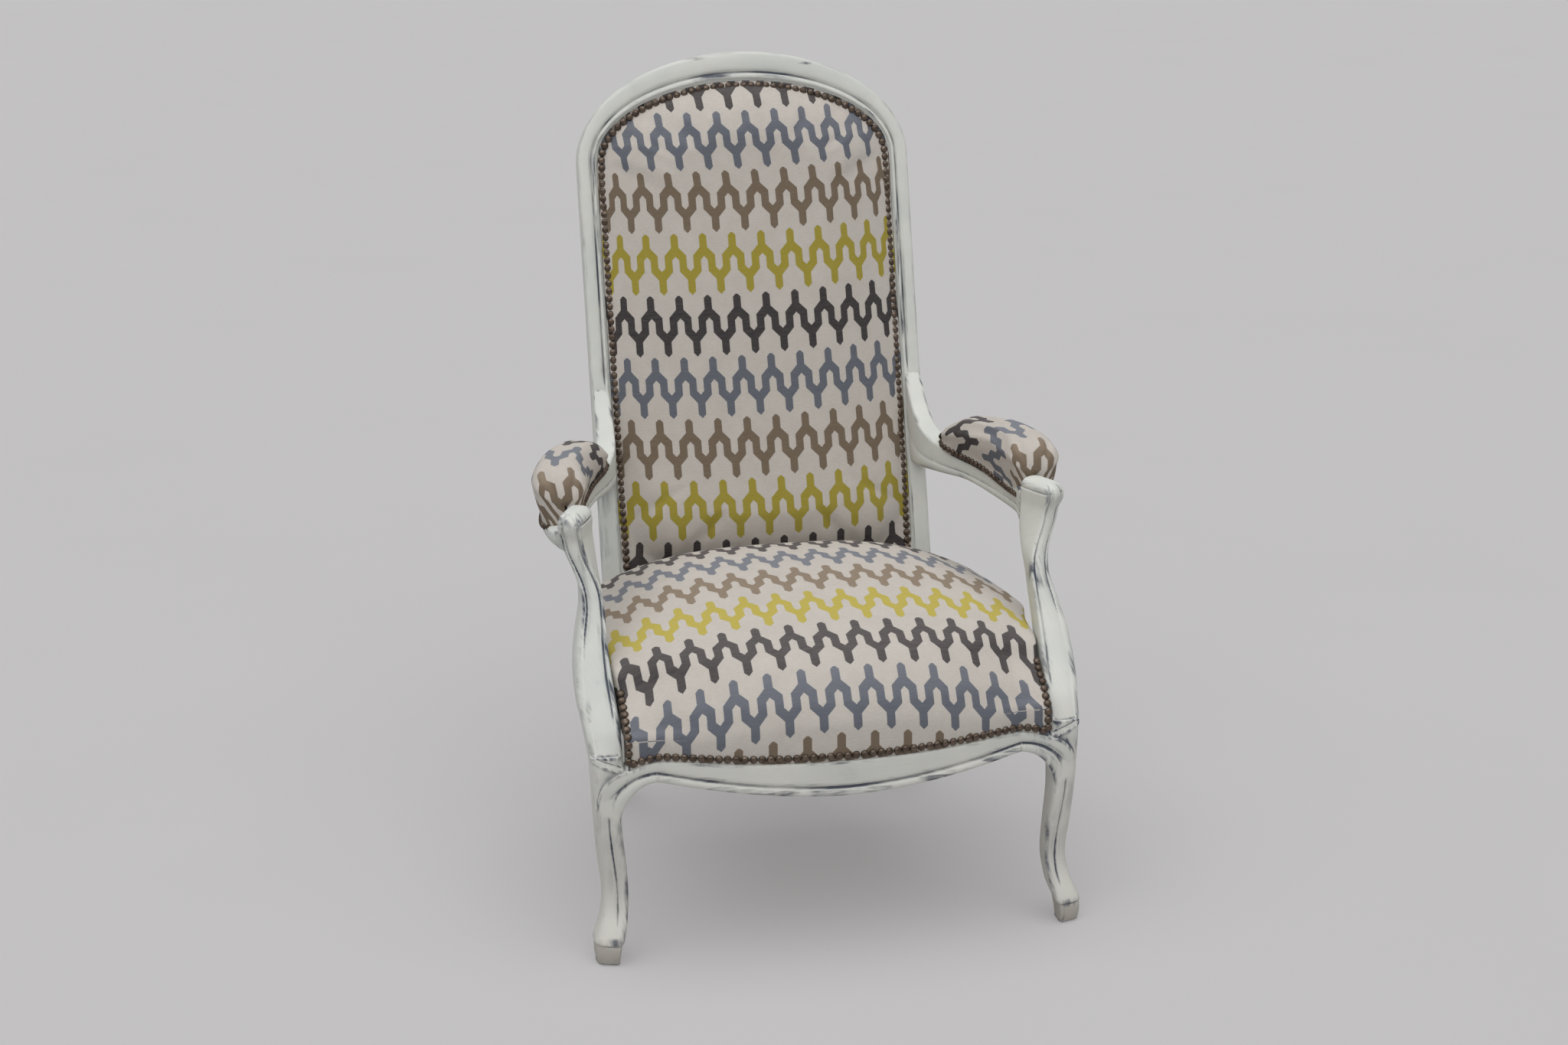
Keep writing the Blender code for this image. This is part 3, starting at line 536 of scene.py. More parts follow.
# Leg stations: share of the leg's height, then inner, outer, front and back faces
LEG_STATIONS = (
    (0.0, -0.0085, 0.0240, -0.0345, 0.0030), (0.040, -0.0095, 0.0262, -0.0385, 0.0060),
    (0.109, -0.0130, 0.0258, -0.0390, 0.0080), (0.158, -0.0172, 0.0195, -0.0325, 0.0120),
    (0.228, -0.0210, 0.0130, -0.0200, 0.0170), (0.323, -0.0235, 0.0100, -0.0130, 0.0230),
    (0.491, -0.0205, 0.0150, -0.0170, 0.0250), (0.649, -0.0165, 0.0180, -0.0240, 0.0270),
    (0.825, -0.0165, 0.0205, -0.0235, 0.0290), (1.0, -0.0185, 0.0225, -0.0230, 0.0310),
)
# Plan of a leg and of a support: across and front to back, then depth of an inner or outer groove
LEG_OUTLINE = (
    (-1.0, 0.55), (-1.0, -0.50), (-0.93, -0.84), (-0.70, -1.02), (-0.30, -1.04), (0.30, -1.02),
    (0.62, -0.98), (0.90, -0.82), (1.0, -0.45), (1.0, 0.45), (0.82, 0.95), (-0.82, 0.95),
)
SUPPORT_OUTLINE = (
    (-1.0, 0.55), (-1.0, -0.45), (-0.98, -0.84), (-0.86, -0.97), (-0.76, -0.99, 0.03, 0.0),
    (-0.70, -0.99, 0.22, 0.0), (-0.62, -0.99, 0.22, 0.0), (-0.56, -1.0, 0.02, 0.0), (0.0, -1.05),
    (0.40, -1.0, 0.0, 0.02), (0.46, -0.99, 0.0, 0.22), (0.55, -0.98, 0.0, 0.22),
    (0.61, -0.97, 0.0, 0.02), (0.80, -0.92), (0.97, -0.76), (1.0, -0.38), (1.0, 0.55),
    (0.84, 0.98), (-0.84, 0.98),
)
# Support stations: share of the support's height, inner, outer, share of the lean and depth
SUPPORT_STATIONS = (
    (0.0, -0.0205, 0.0225, 0.012, 0.057), (0.088, -0.0205, 0.0255, 0.120, 0.058),
    (0.193, -0.0195, 0.0300, 0.263, 0.056), (0.277, -0.0175, 0.0305, 0.371, 0.054),
    (0.372, -0.0160, 0.0280, 0.480, 0.052), (0.474, -0.0160, 0.0215, 0.589, 0.050),
    (0.579, -0.0160, 0.0140, 0.686, 0.048), (0.667, -0.0160, 0.0140, 0.760, 0.050),
    (0.740, -0.0125, 0.0180, 0.812, 0.055), (0.820, -0.0085, 0.0245, 0.840, 0.058),
    (0.875, -0.0065, 0.0270, 0.846, 0.060), (0.908, -0.0060, 0.0300, 0.812, 0.067),
    (0.945, -0.0060, 0.0305, 0.796, 0.069), (0.972, -0.0050, 0.0290, 0.812, 0.064),
    (0.990, -0.0025, 0.0255, 0.850, 0.055), (1.0, 0.0030, 0.0190, 0.915, 0.040),
)
SUPPORT_FOOT = -0.028
# Ridge over the knee, seen from the front: the line above it and the one below
RIDGE_HIGH = ((0.331, 0.2885), (0.287, 0.2710))
RIDGE_LOW = ((0.3285, 0.2790), (0.293, 0.2630))
RIDGE_LEAST = 0.262
RIDGE_SHARE = 0.10
TURN_OUT = 0.27
BASE_TURN = 0.12
NECK_TURN = 0.40
HEAD_TWIST = math.radians(24.0)


def station_ring(side, outline, faces, z, turn, cuts=(0.0, 0.0), twist=0.0):
    """One level of a leg or support: its front slanted and the whole twisted outward."""
    inner, outer, front, back = faces
    half, deep = (outer - inner) / 2, (back - front) / 2
    s, c = math.sin(twist), math.cos(twist)
    ring = []
    for p, q, *groove in outline:
        first, second = groove or (0.0, 0.0)
        across = p * half
        along = (q + first * cuts[0] + second * cuts[1]) * deep + turn * across
        x = LEG_X + inner + half + across * c - along * s
        y = front + deep + across * s + along * c
        ring.append(Vector((side * x, min(y, ARM_JOINT_Y + OVERLAP), z)))
    return ring


def front_leg(side):
    sections = []
    for f in spread(0.0, 1.0, 30):
        inner, outer, front, back = spline(LEG_STATIONS, f)
        faces = (inner, outer, LEG_Y + front, LEG_Y + back)
        turn = TURN_OUT * (1.0 - 0.8 * ease((f - 0.60) / 0.25))
        sections.append(station_ring(side, LEG_OUTLINE, faces, f * LEG_TOP, turn))
    return loft("leg", sections)


def arm_support(side):
    """A leaning support whose foot is cut off along the ridge over the knee."""
    sections = []
    base = LEG_TOP - OVERLAP
    (x0, z0), (x1, z1) = RIDGE_LOW
    for f in spread(0.0, 1.0, 56):
        inner, outer, lean, depth = spline(SUPPORT_STATIONS, f)
        front = LEG_Y + SUPPORT_FOOT + lean * ARM_REACH
        twist = HEAD_TWIST * ease((f - 0.58) / 0.27)
        turn = BASE_TURN + (NECK_TURN - BASE_TURN) * ease(f / 0.6) * ease((0.85 - f) / 0.27)
        cuts = (ease((f - 0.10) / 0.15), 0.12 + 0.88 * ease((f - 0.35) / 0.2))
        faces = (inner, outer, front, front + depth)
        z = base + f * (SUPPORT_TOP - base)
        ring = station_ring(side, SUPPORT_OUTLINE, faces, z, turn, cuts, twist)
        for point in ring:
            slope = max(z1 + (abs(point.x) - x1) * (z0 - z1) / (x0 - x1), RIDGE_LEAST)
            point.z += max(1.0 - f / RIDGE_SHARE, 0.0) * (slope - base)
        sections.append(ring)
    return loft("support", sections, crisp=(True, False))


# Arms

# Arm stations: share along, share across and forward to the support, width, underside, top
ARM_STATIONS = (
    (0.06, 0.011, 0.089, 0.0255, -0.036, 0.055), (0.16, 0.068, 0.185, 0.0290, -0.033, 0.027),
    (0.32, 0.288, 0.308, 0.0360, -0.031, 0.011), (0.52, 0.627, 0.453, 0.0450, -0.031, 0.002),
    (0.75, 0.977, 0.678, 0.0500, -0.043, 0.000), (0.90, 1.096, 0.862, 0.0500, -0.048, 0.000),
    (1.0, 1.0, 1.0, 0.0490, -0.049, 0.002),
)
ARM_OUTLINE = (
    (-0.55, 0.0), (0.55, 0.0), (0.85, 0.05), (1.0, 0.18), (0.99, 0.30), (0.93, 0.33),
    (0.93, 0.39), (0.99, 0.42), (1.0, 0.95), (0.96, 1.0), (-0.96, 1.0), (-1.0, 0.95),
    (-0.99, 0.42), (-0.93, 0.39), (-0.93, 0.33), (-0.99, 0.30), (-1.0, 0.18), (-0.85, 0.05),
)
ARM_ROOT_W = 0.0245
OUTER_LIFT = 0.45
OUTER_SINK = 0.33
ARM_ROOT_X = BACK_HALF - 0.0125
ARM_HEAD_X = LEG_X + 0.014


def arm_place(t):
    """Middle line of the arm at a share of its run: x, y, width, underside and top."""
    root_low = ARM_S0 * math.cos(RAKE) - ARM_Z
    root_high = ARM_S1 * math.cos(RAKE) - ARM_Z
    keys = ((0.0, 0.0, 0.0, ARM_ROOT_W, root_low, root_high),) + ARM_STATIONS
    across, forward, width, low, high = spline(keys, t)
    root_y = BACK_Y + (ARM_Z + (root_low + root_high) / 2) * math.tan(RAKE)
    x = ARM_ROOT_X + across * (ARM_HEAD_X - ARM_ROOT_X)
    y = root_y + forward * (ARM_JOINT_Y - root_y)
    return x, y, width, ARM_Z + low, ARM_Z + high


def arm_across(t):
    """Plan direction across the arm, square to the post and to the support at its ends."""
    a, b = arm_place(max(t - 0.02, 0.0)), arm_place(min(t + 0.02, 1.0))
    run = Vector((b[0] - a[0], b[1] - a[1]))
    swing = min(t / 0.12, (1.0 - t) / 0.12, 1.0)
    return Vector((1.0, 0.0)).lerp(Vector((-run.y, run.x)).normalized(), swing).normalized()


def arm(side):
    sections = []
    for t in [0.0, 0.02, 0.04, 0.06, 0.085, 0.11, 0.135] + spread(0.16, 1.0, 22):
        x, y, width, low, high = arm_place(t)
        across = arm_across(t)
        lean = math.tan(RAKE) * max(1.0 - t / 0.15, 0.0)
        slack = GAP / math.cos(RAKE) if t == 0.0 else 0.0
        ring = []
        for p, h in ARM_OUTLINE:
            outer = max(p, 0.0) ** 2
            lift = OUTER_LIFT * ease((t - 0.50) / 0.35) * outer
            sink = OUTER_SINK * ease((t - 0.78) / 0.17) * outer
            z = low + (high - low) * (h * (1.0 - sink) + (1.0 - h) * lift)
            shift = lean * (z - (low + high) / 2) - slack
            ring.append(Vector((side * (x + p * width / 2 * across.x),
                                y + p * width / 2 * across.y + shift, z)))
        sections.append(ring)
    return loft("arm", sections)


# Carving over the joints of a leg, its support and its arm

# Line down the front of a leg, from the ear's groove to the foot
LEG_LINE = ((0.215, 0.3035), (0.2023, 0.3060), (0.185, 0.3060), (0.160, 0.3035), (0.135, 0.3005),
            (0.110, 0.2975), (0.090, 0.2965), (0.070, 0.2975), (0.045, 0.3005))
TOE_Z = 0.031
HEAD_LINE_Z = SUPPORT_TOP - 0.0135
# Depths of the cuts
POCKET_CUT = 0.0024
RIDGE_CUT = 0.0011
CREASE_CUT = 0.0030
ROUNDING_CUT = 0.0012
TOE_CUT = 0.0020
HEAD_CUT = 0.0016


def bell(distance, width):
    return np.exp(-(distance / width) ** 2)


def smooth(share):
    share = np.clip(share, 0.0, 1.0)
    return share * share * (3 - 2 * share)


def from_line(x, z, ends):
    """Distance over a line seen from the front, and 1 alongside it fading to 0 past its ends."""
    (x0, z0), (x1, z1) = ends
    length = math.hypot(x1 - x0, z1 - z0)
    along = ((x - x0) * (x1 - x0) + (z - z0) * (z1 - z0)) / length
    over = ((x1 - x0) * (z - z0) - (z1 - z0) * (x - x0)) / length
    return over, smooth((along + 0.004) / 0.004) * smooth((length + 0.003 - along) / 0.004)


def knee_depth(x, z):
    """How deep the pocket outside the ear's round edge and the line over the ridge are cut."""
    cx, cz, rx, rz = KNEE
    out = (np.hypot((x - cx) / rx, (z - cz) / rz) - 1.0) * (rx + rz) / 2
    near = smooth((x - cx - 0.004) / 0.006) * smooth((z - cz + 0.006) / 0.010) * smooth((0.29 - z) / 0.01)
    depth = POCKET_CUT * np.where(out > 0, bell(out, 0.0065), bell(out, 0.0009)) * near
    over, near = from_line(x, z, RIDGE_HIGH)
    return depth + RIDGE_CUT * bell(over, 0.0014) * near


def leg_line_depth(x, z):
    """A crease between two rounded halves down the front of a leg."""
    keys = LEG_LINE[::-1]
    line = np.interp(z, [k[0] for k in keys], [k[1] for k in keys])
    off = np.abs(x - line)
    near = smooth((0.207 - z) / 0.012) * smooth((z - 0.045) / 0.030)
    return (CREASE_CUT * np.exp(-off / 0.0022) + ROUNDING_CUT * bell(off, 0.006)) * near


def toe_depth(x, y, z):
    across, back = x - LEG_X - 0.008, y - LEG_Y + 0.016
    heel = (0.66 * back - 0.75 * across) / 0.02
    edge = TOE_Z + 0.012 * np.maximum(heel + 0.2, 0.0) ** 1.3
    return TOE_CUT * smooth((edge - z) / 0.0022)


def carve(obj):
    """Cut the knees, leg lines, toes and the lines under the arms' heads into the skin."""
    mesh = obj.data
    points = coordinates(mesh)
    normals = directions(mesh)
    x, y, z = np.abs(points[:, 0]), points[:, 1], points[:, 2]
    facing = smooth((-normals[:, 1] - 0.15) / 0.3)
    depth = (knee_depth(x, z) + leg_line_depth(x, z)) * facing + toe_depth(x, y, z)
    inward = smooth((-np.sign(points[:, 0]) * normals[:, 0] - 0.3) / 0.3)
    inward *= smooth((ARM_JOINT_Y + 0.004 - y) / 0.012)
    depth += HEAD_CUT * bell(z - HEAD_LINE_Z, 0.0014) * inward
    depth *= x > RAIL_HALF
    points -= normals * depth[:, None]
    mesh.vertices.foreach_set("co", points.ravel())
    mesh.update()


SKIN_CELL = 0.0012
SANDING = 4


def front_skin():
    """Rail, legs, supports and arms as one carved skin, so that the paint runs over their joints."""
    parts = [front_rail()]
    for side in (-1, 1):
        parts += [front_leg(side), leg_ear(side), arm_support(side), arm(side)]
    skin = fuse("front", parts, SKIN_CELL, SANDING)
    carve(skin)
    return skin


# Planes that the skins are split along: a point and a direction each
UP = Vector((0.0, 0.0, 1.0))
BACK_SEAMS = [(on_back(0.0, SPRING_S, 0.0), Vector((0.0, math.sin(RAKE), math.cos(RAKE))))]
ARM_SEAM_Y = ARM_JOINT_Y + 0.0006
LEG_SEAM_X = LEG_INNER + 0.001
LEG_SEAM_Z = SEAT_Z + 0.002
FRONT_SEAMS = [(UP * LEG_TOP, UP), (UP * LEG_SEAM_Z, UP)]
FRONT_SEAMS += [(Vector((0.0, ARM_SEAM_Y, 0.0)), Vector((0.0, 1.0, 0.0)))]
FRONT_SEAMS += [(Vector((side * x, 0.0, 0.0)), Vector((1.0, 0.0, 0.0)))
                for side in (-1, 1) for x in (RAIL_HALF, LEG_SEAM_X)]


def in_rail(point):
    return abs(point.x) < RAIL_HALF and point.z < RAIL_SKIN_Z


def in_leg(point):
    low = point.z < LEG_TOP or (abs(point.x) < LEG_SEAM_X and point.z < LEG_SEAM_Z)
    return low and not in_rail(point)


def in_arm(point):
    return point.z > LEG_TOP and point.y >= ARM_SEAM_Y


def in_support(point):
    return not (in_rail(point) or in_leg(point) or in_arm(point))


# Soft pieces: a grid of points with cloth coordinates, blown up a little between its fixed edges

# How far the rim of a cover turns in, and the least that it then rises
TUCK = 0.0004
WELD = 1e-5
# Added to row numbers to keep them positive; a multiple of the four colours
FIRST_ROW = 8.0
# Cloth simulation: furthest moves, length and settings
MOVE_CAP = 0.004
PAD_MOVE_CAP = 0.0025
CLOTH_FRAMES = 20
CLOTH = {"quality": 5, "mass": 0.3, "tension_stiffness": 20.0, "compression_stiffness": 20.0,
         "bending_stiffness": 0.5, "use_pressure": True, "uniform_pressure_force": 4.0}


def cloth_grid(name, rows, uvs):
    """A sheet through rows of points; uvs holds (across, along) in fabric repeats."""
    wide = len(rows[0])
    faces = []
    for low in range(0, (len(rows) - 1) * wide, wide):
        faces += [(a, a + 1, a + 1 + wide, a + wide) for a in range(low, low + wide - 1)]
    obj = mesh_object(name, [p for row in rows for p in row], faces)
    write_uvs(obj.data, "Fabric", [uv for row in uvs for uv in row])
    return obj


def border(rows, first, last, sides):
    """Numbers of a sheet's outer points: so many rows at each end and columns at each side."""
    tall, wide = len(rows), len(rows[0])
    return [i * wide + j for i in range(tall) for j in range(wide)
            if i < first or i >= tall - last or j < sides or j >= wide - sides]


def sew(obj, *others):
    """Weld a sheet's doubled points, and sew other sheets to it along the points they share."""
    with edited(obj.data) as bm:
        for other in others:
            bm.from_mesh(other.data)
            bpy.data.objects.remove(other)
        bmesh.ops.remove_doubles(bm, verts=bm.verts[:], dist=WELD)


def turn_in(bm, rim, middle, floor):
    """Grow a rim by one strip: towards the middle or, with floor(point), up to that height."""
    grown = bmesh.ops.extrude_edge_only(bm, edges=rim)["geom"]
    for face in (g for g in grown if isinstance(g, bmesh.types.BMFace)):
        face.smooth = False
    rim = [g for g in grown if isinstance(g, bmesh.types.BMEdge) and g.is_boundary]
    for v in {v for e in rim for v in e.verts}:
        if floor:
            v.co.z = max(v.co.z + TUCK, floor(v.co))
        else:
            v.co -= (v.co - middle).to_2d().to_3d().normalized() * TUCK
    return rim


def close_under(obj, floor=None):
    """Close a cover underneath; with floor(point), it turns in and up to that height first."""
    with edited(obj.data) as bm:
        rim = [e for e in bm.edges if e.is_boundary]
        middle = sum((e.verts[0].co for e in rim), Vector()) / len(rim)
        for height in (None, floor) if floor else ():
            rim = turn_in(bm, rim, middle, height)
        filled = bmesh.ops.holes_fill(bm, edges=rim, sides=0)["faces"]
        for face in bmesh.ops.poke(bm, faces=filled)["faces"]:
            face.smooth = False
        bmesh.ops.recalc_face_normals(bm, faces=bm.faces[:])


def settle(obj, pinned, cap):
    """Let cloth take up its own tension over the stuffing, moving no point beyond cap."""
    group = obj.vertex_groups.new(name="Pinned")
    group.add(pinned, 1.0, "REPLACE")
    settings = obj.modifiers.new("Cloth", "CLOTH").settings
    for key, value in CLOTH.items():
        setattr(settings, key, value)
    settings.vertex_group_mass = "Pinned"
    settings.effector_weights.gravity = 0.0
    scene = bpy.context.scene
    for step in range(1, CLOTH_FRAMES + 1):
        scene.frame_set(step)
    graph = bpy.context.evaluated_depsgraph_get()
    moved = obj.evaluated_get(graph).to_mesh()
    still = coordinates(obj.data)
    shift = coordinates(moved) - still
    length = np.maximum(np.linalg.norm(shift, axis=1, keepdims=True), 1e-9)
    shift *= np.minimum(1.0, cap / length)
    obj.modifiers.clear()
    scene.frame_set(1)
    obj.data.vertices.foreach_set("co", (still + shift).ravel())
    obj.data.update()


def run_lengths(points, middle):
    """Distance along a row of points, measured both ways from one of them."""
    out = [0.0]
    for a, b in zip(points, points[1:]):
        out.append(out[-1] + (b - a).length)
    return [d - out[middle] for d in out]


# Back panel

COVER_T = 0.0022
PANEL_HALF = BACK_HALF - LEDGE_W - 0.0018
PANEL_RISE = ARCH_RISE - CREST_BROAD * LEDGE_W - 0.0018
PANEL_FLAT = 0.94
PANEL_CROWN = 5
SPINE_LOW = PANEL_LOW + 0.135
SPINE_HIGH = SPRING_S - 0.010
PANEL_BED = GAP + COVER_T - LEDGE_D
BACK_TOP_TIP = 1.136
BACK_PEAK = (0.0127, -0.0225, 0.745)
TOP_SLIP = 0.15
# How the rows bow across the back: half width they are measured in, their slope and their curve
BACK_BOW = (0.14, 0.03, 0.05)


def panel_top(x):
    return SPRING_S + PANEL_RISE * math.sqrt(max(1.0 - (x / PANEL_HALF) ** 2, 0.0))


def panel_share(x, s):
    """How far out towards the nails a spot of the panel lies, 0 on its spine and 1 at the edge."""
    across = abs(x) / PANEL_HALF
    if s > SPINE_HIGH:
        return math.hypot(across, (s - SPINE_HIGH) / (SPRING_S + PANEL_RISE - SPINE_HIGH))
    down = max(SPINE_LOW - s, 0.0) / (SPINE_LOW - PANEL_LOW)
    return (across ** 4 + down ** 4) ** 0.25


def panel_point(x, s):
    swell = 1.0 - min(panel_share(x, s) / PANEL_FLAT, 1.0) ** PANEL_CROWN
    return on_back(x, s, PANEL_BED + BACK_CROWN * swell)


def back_panel(name):
    across, up = 72, 132
    start, turn, middle = BACK_PEAK
    span, slope, curve = BACK_BOW
    rows, uvs = [], []
    for i in range(up + 1):
        places = [PANEL_HALF * math.sin(0.5 * math.pi * u) * 0.35 + PANEL_HALF * u * 0.65
                  for u in spread(-1.0, 1.0, across)]
        levels = [PANEL_LOW + (panel_top(x) - PANEL_LOW) * i / up for x in places]
        row = [panel_point(x, s) for x, s in zip(places, levels)]
        line = []
        for d, s in zip(run_lengths(row, across // 2), levels):
            q = d / span
            u = (d - start - turn * (s - middle)) / PERIOD + TOP_SLIP * ease((s - 0.92) / 0.10)
            line.append((u, (BACK_TOP_TIP - s) / PITCH + FIRST_ROW + slope * q + curve * q * q))
        rows.append(row)
        uvs.append(line)
    obj = cloth_grid(name, rows, uvs)
    settle(obj, border(rows, 3, 3, 2), MOVE_CAP)
    subdivide(obj, 1)
    close_under(obj)
    return obj


# Seat

SIDE_RAIL_FRONT = RAIL_HALF + 0.022
SIDE_RAIL_REAR = BACK_HALF - 0.018
SEAT_REAR = BACK_Y + SEAT_Z * math.tan(RAKE)
SKIRT_D = REBATE_D - 2.5 * GAP - COVER_T
SKIRT_LOW = SEAT_Z - 0.016
# Seat profile from the front nails to the back: share, depth behind the front, height over the rails
SEAT_MIDDLE = (
    (0.0, SKIRT_D, -0.0285), (0.06, SKIRT_D, 0.004), (0.12, 0.0045, 0.025), (0.18, 0.016, 0.050),
    (0.30, 0.047, 0.085), (0.42, 0.087, 0.105), (0.56, 0.172, 0.127), (0.72, 0.282, 0.138),
    (0.84, 0.372, 0.1375), (0.95, 0.474, 0.123), (0.98, 0.490, 0.100), (1.0, 0.493, 0.060),
)
SEAT_EDGE = (
    (0.0, SKIRT_D, -0.0285), (0.06, SKIRT_D, 0.004), (0.12, 0.0130, 0.016), (0.18, 0.027, 0.030),
    (0.30, 0.059, 0.052), (0.36, 0.073, 0.069), (0.43, 0.092, 0.079), (0.56, 0.145, 0.086),
    (0.72, 0.245, 0.085), (0.84, 0.335, 0.080), (0.95, 0.431, 0.070), (0.98, 0.447, 0.057),
    (1.0, 0.450, 0.043),
)
SEAT_PERIOD = 0.0443
SEAT_PITCH = 0.0893
SEAT_TOP_TIP = 0.575
SEAT_PEAK = -0.008
SEAT_DROOP = 0.07
DROOP_END = 0.34


REAR_GAP = 0.004
HELD_OUT = 0.0075
SHOULDER_OUT = 0.038
SHOULDER_MOST = 0.023
# Fall of the cover at the sides: how far it stands off the rail half way down and at its foot
FALL_BULGE = 0.0115
FALL_FOOT = 0.0030


def clear_of_back(y, z):
    """A distance back, kept in front of the raked back at a height."""
    return min(y, BACK_Y + z * math.tan(RAKE) - REAR_GAP)


def rail_outer(y):
    """Outer face of a side rail at a distance back."""
    f = (y - EAR_BACK) / (SEAT_REAR - EAR_BACK)
    return SIDE_RAIL_FRONT + (SIDE_RAIL_REAR - SIDE_RAIL_FRONT) * f + RAIL_T / 2


def seat_half(y):
    """Half width of the seat's shoulder: held in by the arm supports, fuller behind them."""
    held = LEG_INNER + HELD_OUT * ease((y - LEG_Y - 0.025) / 0.04)
    loose = min(rail_outer(y) + SHOULDER_OUT, LEG_INNER + SHOULDER_MOST)
    return held + (loose - held) * ease((y - LEG_Y - 0.095) / 0.08)


def seat_point(u, v):
    depth, rise = spline(SEAT_MIDDLE, v)
    side_depth, side_rise = spline(SEAT_EDGE, v)
    x = u * seat_half(FRONT_Y + FRONT_BOW + side_depth)
    bow = min(abs(x) / RAIL_HALF, 1.0) ** 2
    y = FRONT_Y + depth + (FRONT_BOW + side_depth - depth) * bow
    rise += (side_rise - rise) * abs(u) ** 3 + lip(x) * max(1.0 - v / 0.06, 0.0)
    return Vector((x, y, SEAT_Z + rise))


def seat_skirt(side, edge, steps):
    """The fall of the cover from the seat's edge to the nails on the side rail."""
    hang = ease((edge.y - EAR_BACK - 0.010) / 0.020)
    low = min(SEAT_Z + 0.001 + (SKIRT_LOW - SEAT_Z - 0.001) * hang, edge.z)
    middle = (edge.z + low) / 2
    keys = []
    for t, z, out in ((0.0, edge.z, 0.0), (0.5, middle, FALL_BULGE), (1.0, low, FALL_FOOT)):
        y = clear_of_back(edge.y, z)
        x = edge.x if t == 0.0 else min(rail_outer(y) + out, seat_half(y) + 0.001)
        keys.append((t, abs(x), y, z))
    points = [spline(keys, k / steps) for k in range(1, steps + 1)]
    return [Vector((side * x, y, z)) for x, y, z in points]


REAR_LOW = SEAT_Z + 0.004
SEAT_FLOOR = SEAT_Z + 0.0055


def seat_rear(edge, side):
    """Rows of the cover's fall behind the seat, between the rear ends of its two side falls."""
    rows = []
    for corner in side:
        share = (corner.z - side[-1].z) / (edge[0].z - side[-1].z)
        row = []
        for p in edge:
            z = REAR_LOW + (p.z - REAR_LOW) * share
            row.append(Vector((p.x * abs(corner.x / edge[0].x), clear_of_back(p.y, z), z)))
        row[0] = corner
        row[-1] = Vector((-corner.x, corner.y, corner.z))
        rows.append(row)
    return rows


def seat_piece(name):
    across, along, fall = 76, 92, 9
    shares = spread(0.0, 1.0, along)
    levels = run_lengths([seat_point(0.0, v) for v in shares], 0)
    rows, uvs = [], []
    for v, level in zip(shares, levels):
        row = [seat_point(u, v) for u in spread(-1.0, 1.0, across)]
        row = seat_skirt(-1, row[0], fall)[::-1] + row + seat_skirt(1, row[-1], fall)
        rows.append(row)
        droop = SEAT_DROOP * max(1.0 - level / DROOP_END, 0.0)
        line = []
        for j, d in enumerate(run_lengths(row, fall + across // 2)):
            u = min(max((j - fall) * 2.0 / across - 1.0, -1.0), 1.0)
            v = (SEAT_TOP_TIP - level - droop * u * u) / SEAT_PITCH + FIRST_ROW
            line.append(((d - SEAT_PEAK) / SEAT_PERIOD, v))
        uvs.append(line)
    obj = cloth_grid(name, rows, uvs)
    settle(obj, border(rows, 6, 4, fall), MOVE_CAP)
    edge = rows[-1][fall:-fall]
    rear = [edge] + seat_rear(edge, rows[-1][fall - 1::-1])
    drops = [(row[across // 2] - edge[across // 2]).length for row in rear]
    rear_uvs = [[(a, b - drop / SEAT_PITCH) for a, b in uvs[-1][fall:-fall]] for drop in drops]
    sew(obj, cloth_grid(name + "_rear", rear, rear_uvs))
    subdivide(obj, 1)
    close_under(obj, lambda p: SEAT_FLOOR)
    return obj


# Arm pads

# Pad stations: share along, half base, half belly and rise as a share of the full rise
PAD_STATIONS = (
    (0.0, 0.010, 0.011, 0.20), (0.06, 0.019, 0.022, 0.45), (0.25, 0.0235, 0.030, 0.82),
    (0.55, 0.026, 0.034, 1.0), (0.80, 0.0262, 0.0365, 0.97), (0.90, 0.0255, 0.0358, 0.90),
    (0.96, 0.0230, 0.0320, 0.76), (1.0, 0.0150, 0.0205, 0.48),
)
PAD_START = 0.30
PAD_STOP = 0.955
PAD_TOP_TIP = 0.031
PAD_PEAKS = {-1: -0.38, 1: 0.70}
PAD_DROP = 0.018
PAD_CLEAR = 0.0015
PAD_GATHER = 0.11
PAD_COLUMNS = 44
PLEATS = 5


def pad_ring(side, f):
    """One slice of an arm pad, from its inner border over the crown to its outer border."""
    t = PAD_START + (PAD_STOP - PAD_START) * f
    x, y, _, _, top = arm_place(t)
    across = arm_across(t)
    base, belly, rise = spline(PAD_STATIONS, f)
    rise *= PAD_RISE
    drop = PAD_DROP * ease((f - 0.35) / 0.55)
    half = ((base, -0.004 - drop), (base, 0.010 - drop), (belly, 0.35 * rise + 0.008),
            (0.95 * belly, 0.74 * rise), (0.58 * belly, 0.97 * rise))
    shape = [(-p, h) for p, h in half] + [(0.0, rise)] + [(p, h) for p, h in reversed(half)]
    keys = [(i / (len(shape) - 1), p, h) for i, (p, h) in enumerate(shape)]
    gather = PAD_GATHER * ease((f - 0.80) / 0.15)
    ring = []
    for k in spread(0.0, 1.0, PAD_COLUMNS):
        p, h = spline(keys, k)
        pull = 1.0 - gather * (1.0 - abs(math.sin(math.pi * PLEATS * k))) ** 2
        z = top + 0.0006 + min(h, rise) * pull
        ring.append(Vector((side * (x + p * pull * across.x), y + p * pull * across.y, z)))
    return ring


